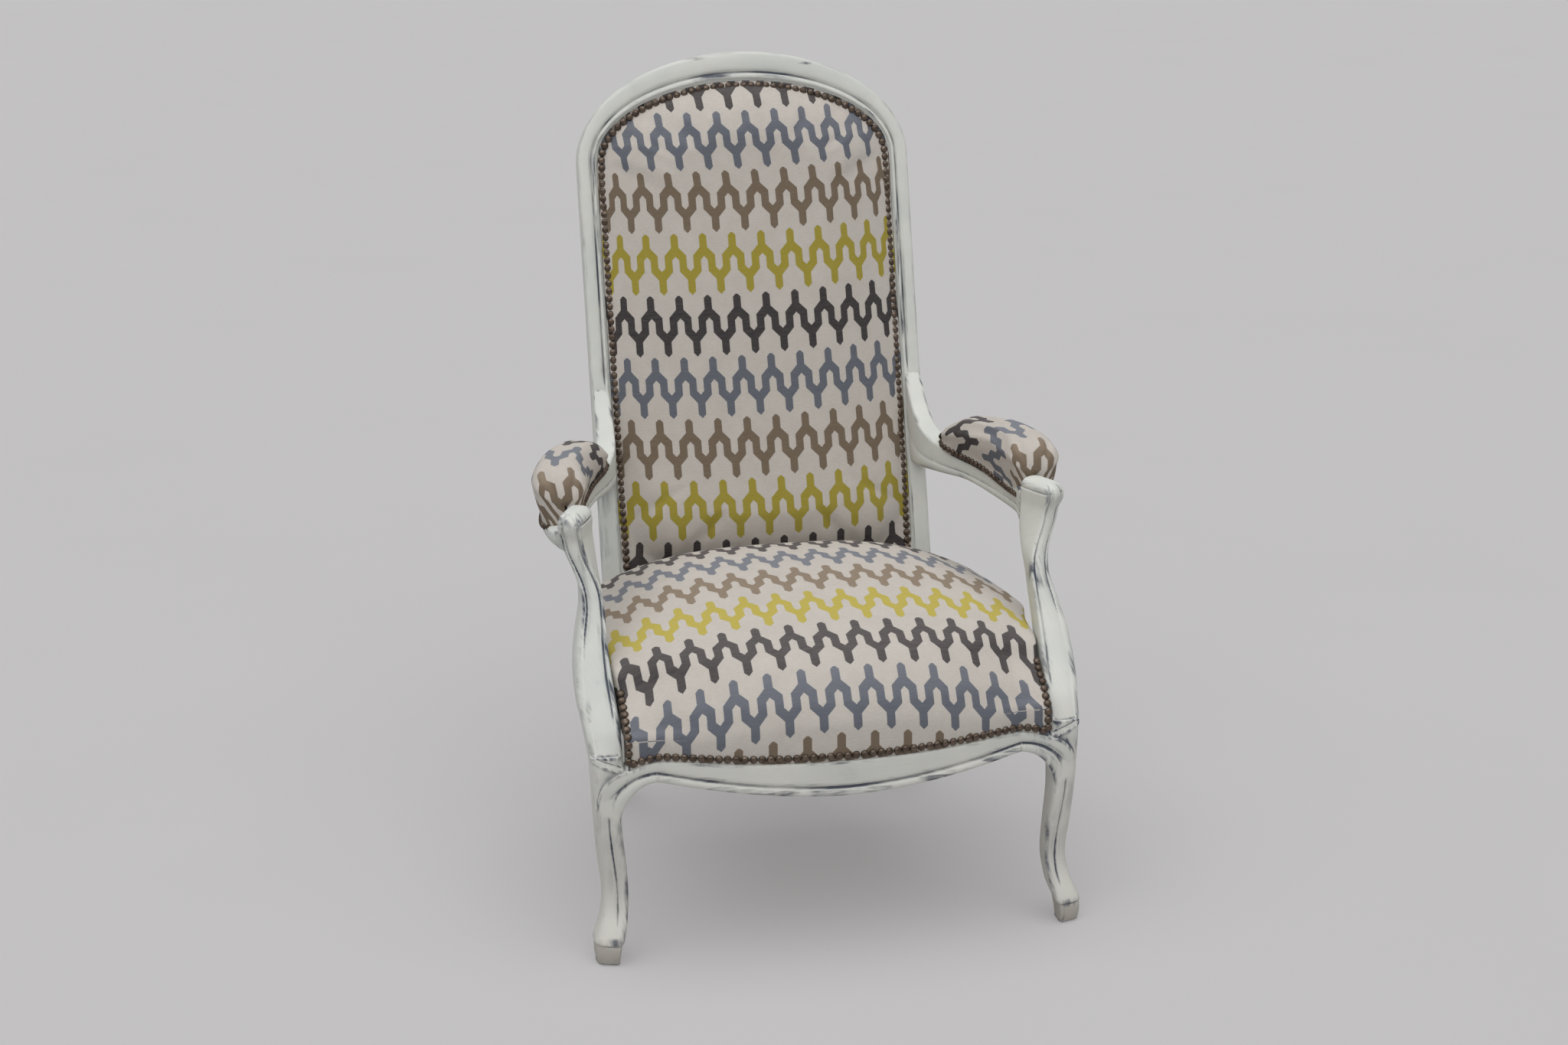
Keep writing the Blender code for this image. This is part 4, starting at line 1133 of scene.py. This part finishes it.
def arm_pad(side, name):
    middle = PAD_COLUMNS // 2
    rows = [pad_ring(side, f) for f in spread(0.0, 1.0, 52)]
    for end, place, out in ((rows[0], 0, 0.002), (rows[-1], len(rows) + 1, -0.004)):
        tip = sum(end, Vector()) / len(end) + Vector((0.0, out, 0.0))
        rows.insert(place, [p.lerp(tip, 0.9) for p in end])
    uvs = []
    for row, level in zip(rows, run_lengths([row[middle] for row in rows], 0)):
        v = max(level - PAD_TOP_TIP, -0.002) / PITCH + FIRST_ROW
        uvs.append([(side * d / PERIOD + PAD_PEAKS[side], v) for d in run_lengths(row, middle)])
    obj = cloth_grid(name, rows, uvs)
    settle(obj, border(rows, 3, 3, 4), PAD_MOVE_CAP)
    subdivide(obj, 1)
    places = [arm_place(t) for t in spread(1.0, 0.0, 60)]
    run, tops = [p[1] for p in places], [p[4] for p in places]
    close_under(obj, lambda p: np.interp(p.y, run, tops) + PAD_CLEAR)
    return obj


# Plain cloths: the outside of the back and the cloth under the seat

WEB_T = 0.002
LINING_T = 0.0015
RAIL_H = 0.065
LINING_INSET = 0.005
CLOTH_SAG = 0.0015


def back_lining(name):
    half, rise, low = BACK_HALF - LINING_INSET, ARCH_RISE - LINING_INSET, SEAT_Z - 0.010
    depth = -FRAME_D - 2 * GAP - WEB_T - LINING_T
    hem = -FRAME_D - GAP
    ups = spread(0.0, 1.0, 48)
    overs = spread(-1.0, 1.0, 36)
    rows, uvs = [], []
    for i, f in enumerate([0.0] + ups + [1.0]):
        row, line = [], []
        for j, u in enumerate([-1.0] + overs + [1.0]):
            x = half * math.sin(0.5 * math.pi * u)
            top = SPRING_S + rise * math.sqrt(max(1.0 - (x / half) ** 2, 0.0))
            s = low + (top - low) * f
            turned = i in (0, len(ups) + 1) or j in (0, len(overs) + 1)
            sag = CLOTH_SAG * (1.0 - u * u) * math.sin(math.pi * f)
            row.append(on_back(x, s, hem if turned else depth - sag))
            line.append((x / PERIOD, s / PITCH))
        rows.append(row)
        uvs.append(line)
    obj = cloth_grid(name, rows[::-1], uvs[::-1])
    sew(obj)
    area = 2 * half * (SPRING_S - low) + math.pi * half * rise / 2
    return obj, (2 * half, SPRING_S + rise - low), area


def bottom_cloth(name):
    half = BACK_HALF - 0.010
    front, rear = EAR_BACK + 0.004, BACK_Y + 0.058
    level = SEAT_Z - RAIL_H - GAP - 0.001
    rows, uvs = [], []
    for f in spread(0.0, 1.0, 24):
        y = front + (rear - front) * f
        line = spread(-half, half, 24)
        sag = [CLOTH_SAG * (1.0 - (x / half) ** 2) * math.sin(math.pi * f) for x in line]
        rows.append([Vector((x, y, level - d)) for x, d in zip(line, sag)])
        uvs.append([(x / PERIOD, y / PITCH) for x in line])
    return cloth_grid(name, rows[::-1], uvs[::-1]), (2 * half, rear - front)


# Domed nails

DOME = ((1.0, 0.0), (0.97, 0.30), (0.82, 0.66), (0.52, 0.90))
DOME_H = 0.0040
DOME_SIDES = 14
ARM_NAIL_R = 0.0043
NAIL_V = 0.012
NAIL_TILT = 0.08
NAIL_INSET = 0.007


def spaced(path, pitch):
    """Spots at an even pitch along a run of (point, outward direction) pairs."""
    lengths = run_lengths([p for p, _ in path], 0)
    count = max(round(lengths[-1] / pitch), 1)
    out, i = [], 0
    for k in range(count + 1):
        want = lengths[-1] * k / count
        while i < len(path) - 2 and lengths[i + 1] < want:
            i += 1
        f = (want - lengths[i]) / max(lengths[i + 1] - lengths[i], 1e-9)
        point = path[i][0].lerp(path[i + 1][0], f)
        out.append((point, path[i][1].lerp(path[i + 1][1], f).normalized()))
    return out


def nails(name, spots, radius):
    """One mesh of domed heads, each turned a little so that no two catch the light alike."""
    verts, faces = [], []
    for n, (centre, out) in enumerate(spots):
        tilt = Vector((math.sin(7.1 * n), math.sin(4.3 * n + 1.0), math.sin(5.7 * n + 2.0)))
        out = (out + tilt * NAIL_TILT).normalized()
        u = out.orthogonal().normalized()
        w = out.cross(u)
        start = len(verts)
        for r, h in DOME:
            for k in range(DOME_SIDES):
                a = 2 * math.pi * k / DOME_SIDES
                verts.append(centre + (u * math.cos(a) + w * math.sin(a)) * r * radius + out * h * DOME_H)
        verts.append(centre + out * DOME_H)
        for ring in range(len(DOME) - 1):
            for k in range(DOME_SIDES):
                a, b = start + ring * DOME_SIDES + k, start + ring * DOME_SIDES + (k + 1) % DOME_SIDES
                faces.append((a, b, b + DOME_SIDES, a + DOME_SIDES))
        top = start + (len(DOME) - 1) * DOME_SIDES
        for k in range(DOME_SIDES):
            faces.append((top + k, top + (k + 1) % DOME_SIDES, len(verts) - 1))
        faces.append(tuple(range(start + DOME_SIDES - 1, start - 1, -1)))
    obj = mesh_object(name, verts, faces)
    for face in obj.data.polygons:
        face.use_smooth = len(face.vertices) < DOME_SIDES
    return obj


def back_nail_path():
    half, rise, low = PANEL_HALF - NAIL_INSET, PANEL_RISE - NAIL_INSET, PANEL_LOW + NAIL_INSET
    spots = [(half, s) for s in spread(low, SPRING_S, 60)]
    spots += [(half * math.cos(a), SPRING_S + rise * math.sin(a)) for a in spread(0.0, math.pi, 180)[1:]]
    spots += [(-half, s) for s in spread(SPRING_S, low, 60)[1:]]
    out = on_back(0.0, 0.0, 1.0) - on_back(0.0, 0.0, 0.0)
    return [(on_back(x, s, PANEL_BED), out) for x, s in spots]


def seat_normal(u, v):
    step = 0.004
    along = seat_point(u, v + step) - seat_point(u, max(v - step, 0.0))
    over = seat_point(u + step, v) - seat_point(u - step, v)
    return over.cross(along).normalized()


def seat_nail_path():
    """Along the front rail and, at each end, up the inner edge of the arm support."""
    rise = spread(0.30, NAIL_V, 60)
    spots = [(-1.0, v) for v in rise]
    spots += [(u, NAIL_V) for u in spread(-1.0, 1.0, 200)[1:-1]]
    spots += [(1.0, v) for v in reversed(rise)]
    return [(seat_point(u, v), seat_normal(u, v)) for u, v in spots]


def pad_nail_paths(side):
    """Along both borders of an arm pad and round its back end."""
    inner, outer = [], []
    for f in spread(0.02, 0.97, 60):
        ring = pad_ring(side, f)
        away = (ring[-3] - ring[2]).normalized()
        inner.append((ring[2], -away))
        outer.append((ring[-3], away))
    rear = Vector((0.0, 1.0, 0.3)).normalized()
    return inner[::-1] + [(p, rear) for p in pad_ring(side, 0.0)[3:-3]] + outer


def side_nail_path(side):
    path = []
    for y in spread(EAR_BACK + 0.034, SEAT_REAR - 0.016, 40):
        path.append((Vector((side * (rail_outer(y) + 0.0042), y, SKIRT_LOW + 0.0065)),
                     Vector((side, 0.0, 0.1)).normalized()))
    return path


# Finishes

class Look:
    """A procedural material and the few node helpers its recipe needs."""

    def __init__(self, name):
        self.material = bpy.data.materials.new(name)
        self.material.use_nodes = True
        self.tree = self.material.node_tree
        self.bsdf = self.tree.nodes["Principled BSDF"]

    def feed(self, socket, value):
        if isinstance(value, bpy.types.NodeSocket):
            self.tree.links.new(value, socket)
        else:
            socket.default_value = value

    def node(self, kind, **props):
        made = self.tree.nodes.new("ShaderNode" + kind)
        for key, value in props.items():
            setattr(made, key, value)
        return made

    def math(self, operation, *values, clamp=False):
        made = self.node("Math", operation=operation, use_clamp=clamp)
        for socket, value in zip(made.inputs, values):
            self.feed(socket, value)
        return made.outputs[0]

    def times(self, a, b):
        return self.math("MULTIPLY", a, b)

    def plus(self, a, factor, b):
        """a times a factor, plus b."""
        return self.math("MULTIPLY_ADD", a, factor, b)

    def most(self, a, b):
        return self.math("MAXIMUM", a, b)

    def split(self, where):
        """The three coordinates of a place."""
        made = self.node("SeparateXYZ")
        self.feed(made.inputs[0], where)
        return made.outputs

    def mark(self, name):
        """A number stored at the points of the mesh."""
        return self.node("Attribute", attribute_name=name).outputs["Fac"]

    def ramp(self, value, low, high, start=0.0, stop=1.0, curve="LINEAR"):
        made = self.node("MapRange", interpolation_type=curve)
        for socket, item in zip(made.inputs, (value, low, high, start, stop)):
            self.feed(socket, item)
        return made.outputs[0]

    def mix(self, factor, a, b, kind="MIX"):
        made = self.node("Mix", data_type="RGBA", blend_type=kind)
        for socket, value in zip((made.inputs[0], made.inputs[6], made.inputs[7]), (factor, a, b)):
            if isinstance(value, tuple):
                value = (*value, 1.0)
            self.feed(socket, value)
        return made.outputs[2]

    def stretched(self, where, stretch):
        """Coordinates scaled by axis."""
        made = self.node("Mapping")
        made.inputs["Scale"].default_value = stretch
        self.feed(made.inputs["Vector"], where)
        return made.outputs[0]

    def place(self, stretch=(1.0, 1.0, 1.0)):
        return self.stretched(self.node("TexCoord").outputs["Object"], stretch)

    def noise(self, where, scale, detail=3.0, rough=0.55):
        made = self.node("TexNoise")
        self.feed(made.inputs["Vector"], where)
        for key, value in (("Scale", scale), ("Detail", detail), ("Roughness", rough)):
            made.inputs[key].default_value = value
        return made.outputs[0]

    def bump(self, height, distance, strength=1.0):
        made = self.node("Bump")
        made.inputs["Strength"].default_value = strength
        made.inputs["Distance"].default_value = distance
        self.feed(made.inputs["Height"], height)
        self.feed(self.bsdf.inputs["Normal"], made.outputs[0])

    def surface(self, color, roughness, metallic=0.0):
        for key, value in (("Base Color", color), ("Roughness", roughness), ("Metallic", metallic)):
            if isinstance(value, tuple):
                value = (*value, 1.0)
            self.feed(self.bsdf.inputs[key], value)
        return self.material


PAINT = (0.73, 0.735, 0.690)
PAINT_COOL = (0.615, 0.640, 0.610)
PAINT_WARM = (0.70, 0.66, 0.58)
UNDERCOAT = (0.022, 0.034, 0.070)
# Painted shade: the darker, warmer tone the paint takes on near the floor
LOW_SHADE = (0.56, 0.51, 0.455)
GRIME = (0.33, 0.29, 0.25)


def worn_through(look, run, cloud, broken):
    """Share of dark coat that shows: in grooves and hollows, on edges and where hands rubbed."""
    wear, halo, rubbed = look.mark("wear"), look.mark("halo"), look.mark("rubbed")
    streak = look.noise(look.stretched(run, (1.0, 0.12, 1.0)), 120.0, 5.0, 0.6)
    other = look.noise(look.place(), 15.0, 3.0)
    rub = look.ramp(look.plus(streak, 0.35, cloud), 0.56, 0.74)
    edge_rub = look.ramp(look.plus(streak, 0.35, other), 0.60, 0.76)
    dry = look.ramp(streak, 0.42, 0.58)
    sunk = look.plus(broken, 0.25, look.plus(wear, -1.0, -0.125))
    share = look.most(look.ramp(rub, 0.0, 1.0, 0.25, 0.90), rubbed)
    groove = look.times(look.ramp(sunk, 0.10, 0.40), share)
    hollow = look.times(look.times(look.ramp(halo, -0.03, -0.20), rub), dry)
    edge = look.times(look.times(look.ramp(halo, 0.07, 0.28), edge_rub), dry)
    patch = look.times(look.ramp(cloud, 0.64, 0.74, 0.0, 0.5), dry)
    bare = look.most(groove, look.times(hollow, 0.85))
    bare = look.most(bare, look.times(edge, 0.9))
    bare = look.math("MAXIMUM", bare, patch, clamp=True)
    through = look.plus(broken, 0.9, look.plus(rubbed, 1.0, -0.95))
    through = look.times(look.ramp(through, 0.05, 0.50, 0.0, 0.85), dry)
    return look.math("MAXIMUM", bare, through, clamp=True)


def painted_wood(name, brushed):
    """Off-white paint rubbed back over a dark blue coat: broken dark lines, dry-brushed edges."""
    look = Look(name)
    even = look.place()
    if brushed:
        run = look.node("UVMap", uv_map="Grain").outputs[0]
    else:
        run = look.node("TexCoord").outputs["Object"]
    brush = look.noise(look.stretched(run, (1.0, 0.05, 1.0)), 320.0, 4.0, 0.6)
    cloud = look.noise(even, 9.0, 3.0)
    broken = look.noise(even, 60.0, 5.0, 0.6)
    bare = worn_through(look, run, cloud, broken)
    tone = look.mix(look.ramp(cloud, 0.38, 0.68), PAINT, PAINT_COOL)
    tone = look.mix(look.ramp(broken, 0.54, 0.72, 0.0, 0.45), tone, PAINT_WARM)
    tone = look.mix(look.ramp(brush, 0.35, 0.75, 0.0, 0.28), tone, PAINT_COOL)
    level = look.split(even)[2]
    # Painted shade: below about 0.36 m the paint grows darker and warmer towards the floor, where less
    # light reaches
    tone = look.mix(look.ramp(level, 0.36, 0.10, 0.0, 0.40), tone, LOW_SHADE)
    tone = look.mix(look.ramp(look.plus(broken, 0.03, level), 0.052, 0.040, 0.0, 0.55), tone, GRIME)
    look.bump(look.plus(bare, -0.5, brush), 0.0006, 0.45)
    look.bsdf.inputs["Specular IOR Level"].default_value = 0.3
    return look.surface(look.mix(bare, tone, UNDERCOAT), look.ramp(brush, 0.2, 0.8, 0.55, 0.75))


def bare_wood():
    look = Look("bare_wood")
    grain = look.noise(look.place((1.0, 1.0, 0.12)), 160.0, 5.0, 0.6)
    look.bump(grain, 0.0004, 0.4)
    color = look.mix(look.ramp(grain, 0.3, 0.7), (0.50, 0.33, 0.18), (0.32, 0.19, 0.10))
    return look.surface(color, look.ramp(grain, 0.2, 0.8, 0.50, 0.70))


GROUND = (0.657, 0.614, 0.564)
# One colour for each row of the pattern, in the order they run down the back
ROW_COLORS = ((0.026, 0.021, 0.025), (0.108, 0.121, 0.152), (0.165, 0.120, 0.078), (0.345, 0.280, 0.020))
# One row of the stepped zigzag: where its two edges start and stop slanting, as shares of the row
OUTER_SLANTS = ((0.225, 0.352), (0.548, 0.675))
INNER_SLANTS = ((0.300, 0.427), (0.612, 0.745))
SLANT = 0.25
LINE_HALF = 0.13
ROW_END = 0.975
TIP = 0.035


def zigzag_edge(look, share, slants, start):
    first, second = [look.ramp(share, *span) for span in slants]
    return look.plus(look.math("ADD", first, second), SLANT, start)


def zigzag_mask(look, across, along):
    """1 on the stepped zigzag line of a row, 0 on the ground."""
    fold = look.math("PINGPONG", across, 0.5)
    share = look.math("FRACT", along)
    outer = zigzag_edge(look, share, OUTER_SLANTS, LINE_HALF)
    inner = zigzag_edge(look, share, INNER_SLANTS, -LINE_HALF)
    middle = look.times(look.math("ADD", outer, inner), 0.5)
    half = look.times(look.math("SUBTRACT", outer, inner), 0.5)
    slope = PITCH / PERIOD
    top = look.plus(share, slope, TIP)
    bottom = look.plus(look.math("SUBTRACT", ROW_END, share), slope, TIP)
    half = look.math("MINIMUM", half, look.math("MINIMUM", top, bottom))
    inside = look.math("SUBTRACT", half, look.math("ABSOLUTE", look.math("SUBTRACT", fold, middle)))
    return look.ramp(inside, -0.012, 0.012, curve="SMOOTHSTEP")


def zigzag_fabric():
    """Linen-like cloth with four rows of stepped zigzag in turn, woven in."""
    look = Look("zigzag_fabric")
    uv = look.node("UVMap", uv_map="Fabric").outputs[0]
    across, along, _ = look.split(uv)

    def threads(stretch, detail):
        return look.noise(look.stretched(uv, stretch), 1.0, detail, 0.6)

    weft = threads((6.0, 190.0, 1.0), 4.0)
    warp = threads((95.0, 9.0, 1.0), 4.0)
    mottle = threads((1.3, 2.2, 1.0), 3.0)
    slub = threads((2.2, 55.0, 1.0), 3.0)
    # Painted sheen: on upward-facing cloth the zigzag lines are made lighter and paler, as glare at a low
    # angle shows them
    upward = look.split(look.node("NewGeometry").outputs["Normal"])[2]
    top_sheen = look.ramp(upward, 0.45, 0.95, 0.0, 0.40)
    across = look.math("ADD", across, look.plus(weft, 0.030, -0.015))
    along = look.math("ADD", along, look.plus(warp, 0.012, -0.006))
    mask = zigzag_mask(look, across, along)
    row = look.math("FLOORED_MODULO", look.math("FLOOR", along), 4.0)
    color = ROW_COLORS[0]
    for i, shade in enumerate(ROW_COLORS[1:], 1):
        color = look.mix(look.math("GREATER_THAN", row, i - 0.5), color, shade)
    ground = look.mix(look.ramp(weft, 0.30, 0.70), GROUND, tuple(c * 0.82 for c in GROUND))
    ground = look.mix(look.ramp(mottle, 0.30, 0.75, 0.0, 0.18), ground, (0.36, 0.31, 0.27))
    ground = look.mix(look.ramp(slub, 0.35, 0.70, 0.0, 0.16), ground, (0.40, 0.35, 0.30))
    color = look.mix(look.ramp(slub, 0.35, 0.70, 0.0, 0.06), color, GROUND)
    # Painted sheen on the lines of upward-facing cloth
    color = look.mix(top_sheen, color, color, "ADD")
    color = look.mix(look.times(top_sheen, 0.16), color, GROUND)
    color = look.mix(look.times(mask, 0.97), ground, color)
    look.bump(look.math("ADD", look.math("ADD", warp, weft), slub), 0.0005, 0.55)
    for key, value in (("Specular IOR Level", 0.2), ("Sheen Weight", 0.04), ("Sheen Roughness", 0.6)):
        look.bsdf.inputs[key].default_value = value
    return look.surface(color, look.ramp(weft, 0.2, 0.8, 0.78, 0.95))


def plain_cloth(name, light, dark, threads):
    """Undyed cloth: jute webbing or lining."""
    look = Look(name)
    weft = look.noise(look.place((0.15, 1.0, 1.0)), threads, 4.0, 0.6)
    warp = look.noise(look.place((1.0, 0.15, 0.15)), threads, 4.0, 0.6)
    weave = look.times(look.math("ADD", weft, warp), 0.5)
    look.bump(weave, 0.0007, 0.6)
    color = look.mix(look.ramp(weave, 0.35, 0.65), light, dark)
    return look.surface(color, look.ramp(weave, 0.2, 0.8, 0.80, 0.97))


def antique_bronze():
    look = Look("antique_bronze")
    where = look.place()
    tarnish = look.noise(where, 130.0, 4.0, 0.6)
    pits = look.noise(where, 700.0, 3.0, 0.6)
    color = look.mix(look.ramp(tarnish, 0.38, 0.66), (0.085, 0.062, 0.048), (0.18, 0.140, 0.11))
    look.bump(pits, 0.0005, 0.5)
    return look.surface(color, look.ramp(tarnish, 0.3, 0.7, 0.48, 0.32), 0.85)


# Putting it together

def dress_wood(paint):
    """Every painted piece that shows, rounder and worn; the rails behind stay as they are."""
    back, front = back_frame(), front_skin()
    shares = [(back, "crest_rail", lambda p: up_the_back(p) > SPRING_S),
              (front, "seat_front_rail", in_rail)]
    for side, tag in SIDES:
        shares += [(back, "back_post_" + tag, lambda p, s=side: up_the_back(p) <= SPRING_S and p.x * s > 0),
                   (front, "front_leg_" + tag, lambda p, s=side: in_leg(p) and p.x * s > 0),
                   (front, "arm_support_" + tag, lambda p, s=side: in_support(p) and p.x * s > 0),
                   (front, "arm_" + tag, lambda p, s=side: in_arm(p) and p.x * s > 0)]
    for whole, scale, seams in ((back, 620.0, BACK_SEAMS), (front, 380.0, FRONT_SEAMS)):
        mark_wear(whole, scale)
        mark_rubs(whole)
        cut_along(whole, seams)
    for whole, node, keep in shares:
        seat(split_off(whole, "painted_" + node, keep), paint, "painted_wood", node)
    for whole in (back, front):
        bpy.data.objects.remove(whole, do_unlink=True)


def dress_soft(fabric, lining):
    def stuff(piece, *nodes):
        seat(piece, fabric, "zigzag_fabric", *nodes)

    stuff(seat_piece("stuffed_seat"), "seat_cover", "seat_stuffing")
    stuff(back_panel("stuffed_back"), "back_cover", "back_stuffing")
    for side, tag in SIDES:
        stuff(arm_pad(side, "stuffed_arm_" + tag), "arm_pad_" + tag)
    outside, flat, area = back_lining("outside_back_cloth")
    seat(outside, lining, "lining", "back_lining")
    under, flat = bottom_cloth("under_seat_cloth")
    seat(under, lining, "lining", "seat_bottom_cloth")


def dress_nails(bronze):
    pitch = 2 * NAIL_R
    groups = [("back_nails", spaced(back_nail_path(), pitch), NAIL_R),
              ("seat_nails", spaced(seat_nail_path(), pitch), NAIL_R)]
    for side, tag in SIDES:
        groups.append(("arm_nails_" + tag, spaced(pad_nail_paths(side), 2 * ARM_NAIL_R), ARM_NAIL_R))
        groups.append(("side_nails_" + tag, spaced(side_nail_path(side), pitch), NAIL_R))
    for name, spots, radius in groups:
        seat(nails(name, spots, radius), bronze, None)


def dress_nodes(looks):
    """The nodes kept from the part: a finish for each by its kind."""
    kinds = {"dowel": "wood", "rail": "rails", "webbing": "jute"}
    for name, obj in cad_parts.items():
        for kind, look in kinds.items():
            if kind in name:
                obj.data.materials.clear()
                obj.data.materials.append(looks[look])


# Floor, light and camera

FLOOR = (0.545, 0.535, 0.540)
FLOOR_GLOW = 0.4
CAMERA_AT = Vector((-0.727, -3.5945, 1.5744))
AZIMUTH = math.radians(-11.3345)
ELEVATION = math.radians(16.5652)
ROLL = math.radians(-0.5669)
LENS = 63.23
SKY = 0.24
# Suns: name, strength, apparent size in degrees and the way they shine
SUNS = (("key", 2.35, 85.0, (0.10, 0.28, -1.0)), ("fill", 0.10, 80.0, (-0.5, 0.9, -0.5)))


def floor():
    half = 60.0
    corners = [(-half, -half, 0), (half, -half, 0), (half, half, 0), (-half, half, 0)]
    obj = mesh_object("floor", corners, [(0, 1, 2, 3)])
    look = Look("floor")
    dust = look.noise(look.place(), 1.5, 3.0)
    tone = look.mix(look.ramp(dust, 0.3, 0.7), FLOOR, tuple(c * 0.985 for c in FLOOR))
    rays = look.node("LightPath").outputs
    glow = look.times(look.most(rays["Is Camera Ray"], rays["Is Glossy Ray"]), FLOOR_GLOW)
    look.feed(look.bsdf.inputs["Emission Color"], tone)
    look.feed(look.bsdf.inputs["Emission Strength"], glow)
    obj.data.materials.append(look.surface(look.mix(glow, tone, (0.0, 0.0, 0.0)), 0.9))


def light():
    """Two wide suns and an even sky; the camera sees the floor's colour in place of the sky."""
    world = bpy.data.worlds.new("studio")
    world.use_nodes = True
    tree = world.node_tree
    sky = tree.nodes["Background"]
    sky.inputs["Color"].default_value = (1.0, 1.0, 1.0, 1.0)
    sky.inputs["Strength"].default_value = SKY
    wall = tree.nodes.new("ShaderNodeBackground")
    wall.inputs["Color"].default_value = (*FLOOR, 1.0)
    choice = tree.nodes.new("ShaderNodeMixShader")
    seen = tree.nodes.new("ShaderNodeLightPath").outputs["Is Camera Ray"]
    for socket, source in zip(choice.inputs, (seen, sky.outputs[0], wall.outputs[0])):
        tree.links.new(source, socket)
    tree.links.new(choice.outputs[0], tree.nodes["World Output"].inputs[0])
    bpy.context.scene.world = world
    for name, energy, size, aim in SUNS:
        lamp = bpy.data.lights.new(name, "SUN")
        lamp.energy = energy
        lamp.angle = math.radians(size)
        add_object(name, lamp).rotation_euler = Vector(aim).to_track_quat("-Z", "Y").to_euler()


def camera():
    a, e, r = AZIMUTH, ELEVATION, ROLL
    right = Vector((math.cos(a), math.sin(a), 0.0))
    back = Vector((math.sin(a) * math.cos(e), -math.cos(a) * math.cos(e), math.sin(e)))
    up = back.cross(right)
    turned = (right * math.cos(r) + up * math.sin(r), up * math.cos(r) - right * math.sin(r), back)
    data = bpy.data.cameras.new("camera")
    data.lens = LENS
    data.sensor_width = 36.0
    data.sensor_fit = "HORIZONTAL"
    obj = add_object("camera", data)
    place = Matrix(turned).transposed().to_4x4()
    place.translation = CAMERA_AT + SHIFT
    obj.matrix_world = place
    bpy.context.scene.camera = obj


bpy.context.scene.view_settings.view_transform = "Standard"
FINISHES = {
    "paint": painted_wood("painted_wood", True),
    "rails": painted_wood("painted_rails", False),
    "wood": bare_wood(),
    "jute": plain_cloth("jute", (0.44, 0.31, 0.18), (0.25, 0.17, 0.09), 380.0),
    "lining": plain_cloth("lining", (0.60, 0.54, 0.48), (0.47, 0.42, 0.37), 520.0),
}
dress_wood(FINISHES["paint"])
dress_soft(zigzag_fabric(), FINISHES["lining"])
dress_nails(antique_bronze())
dress_nodes(FINISHES)
floor()
light()
camera()
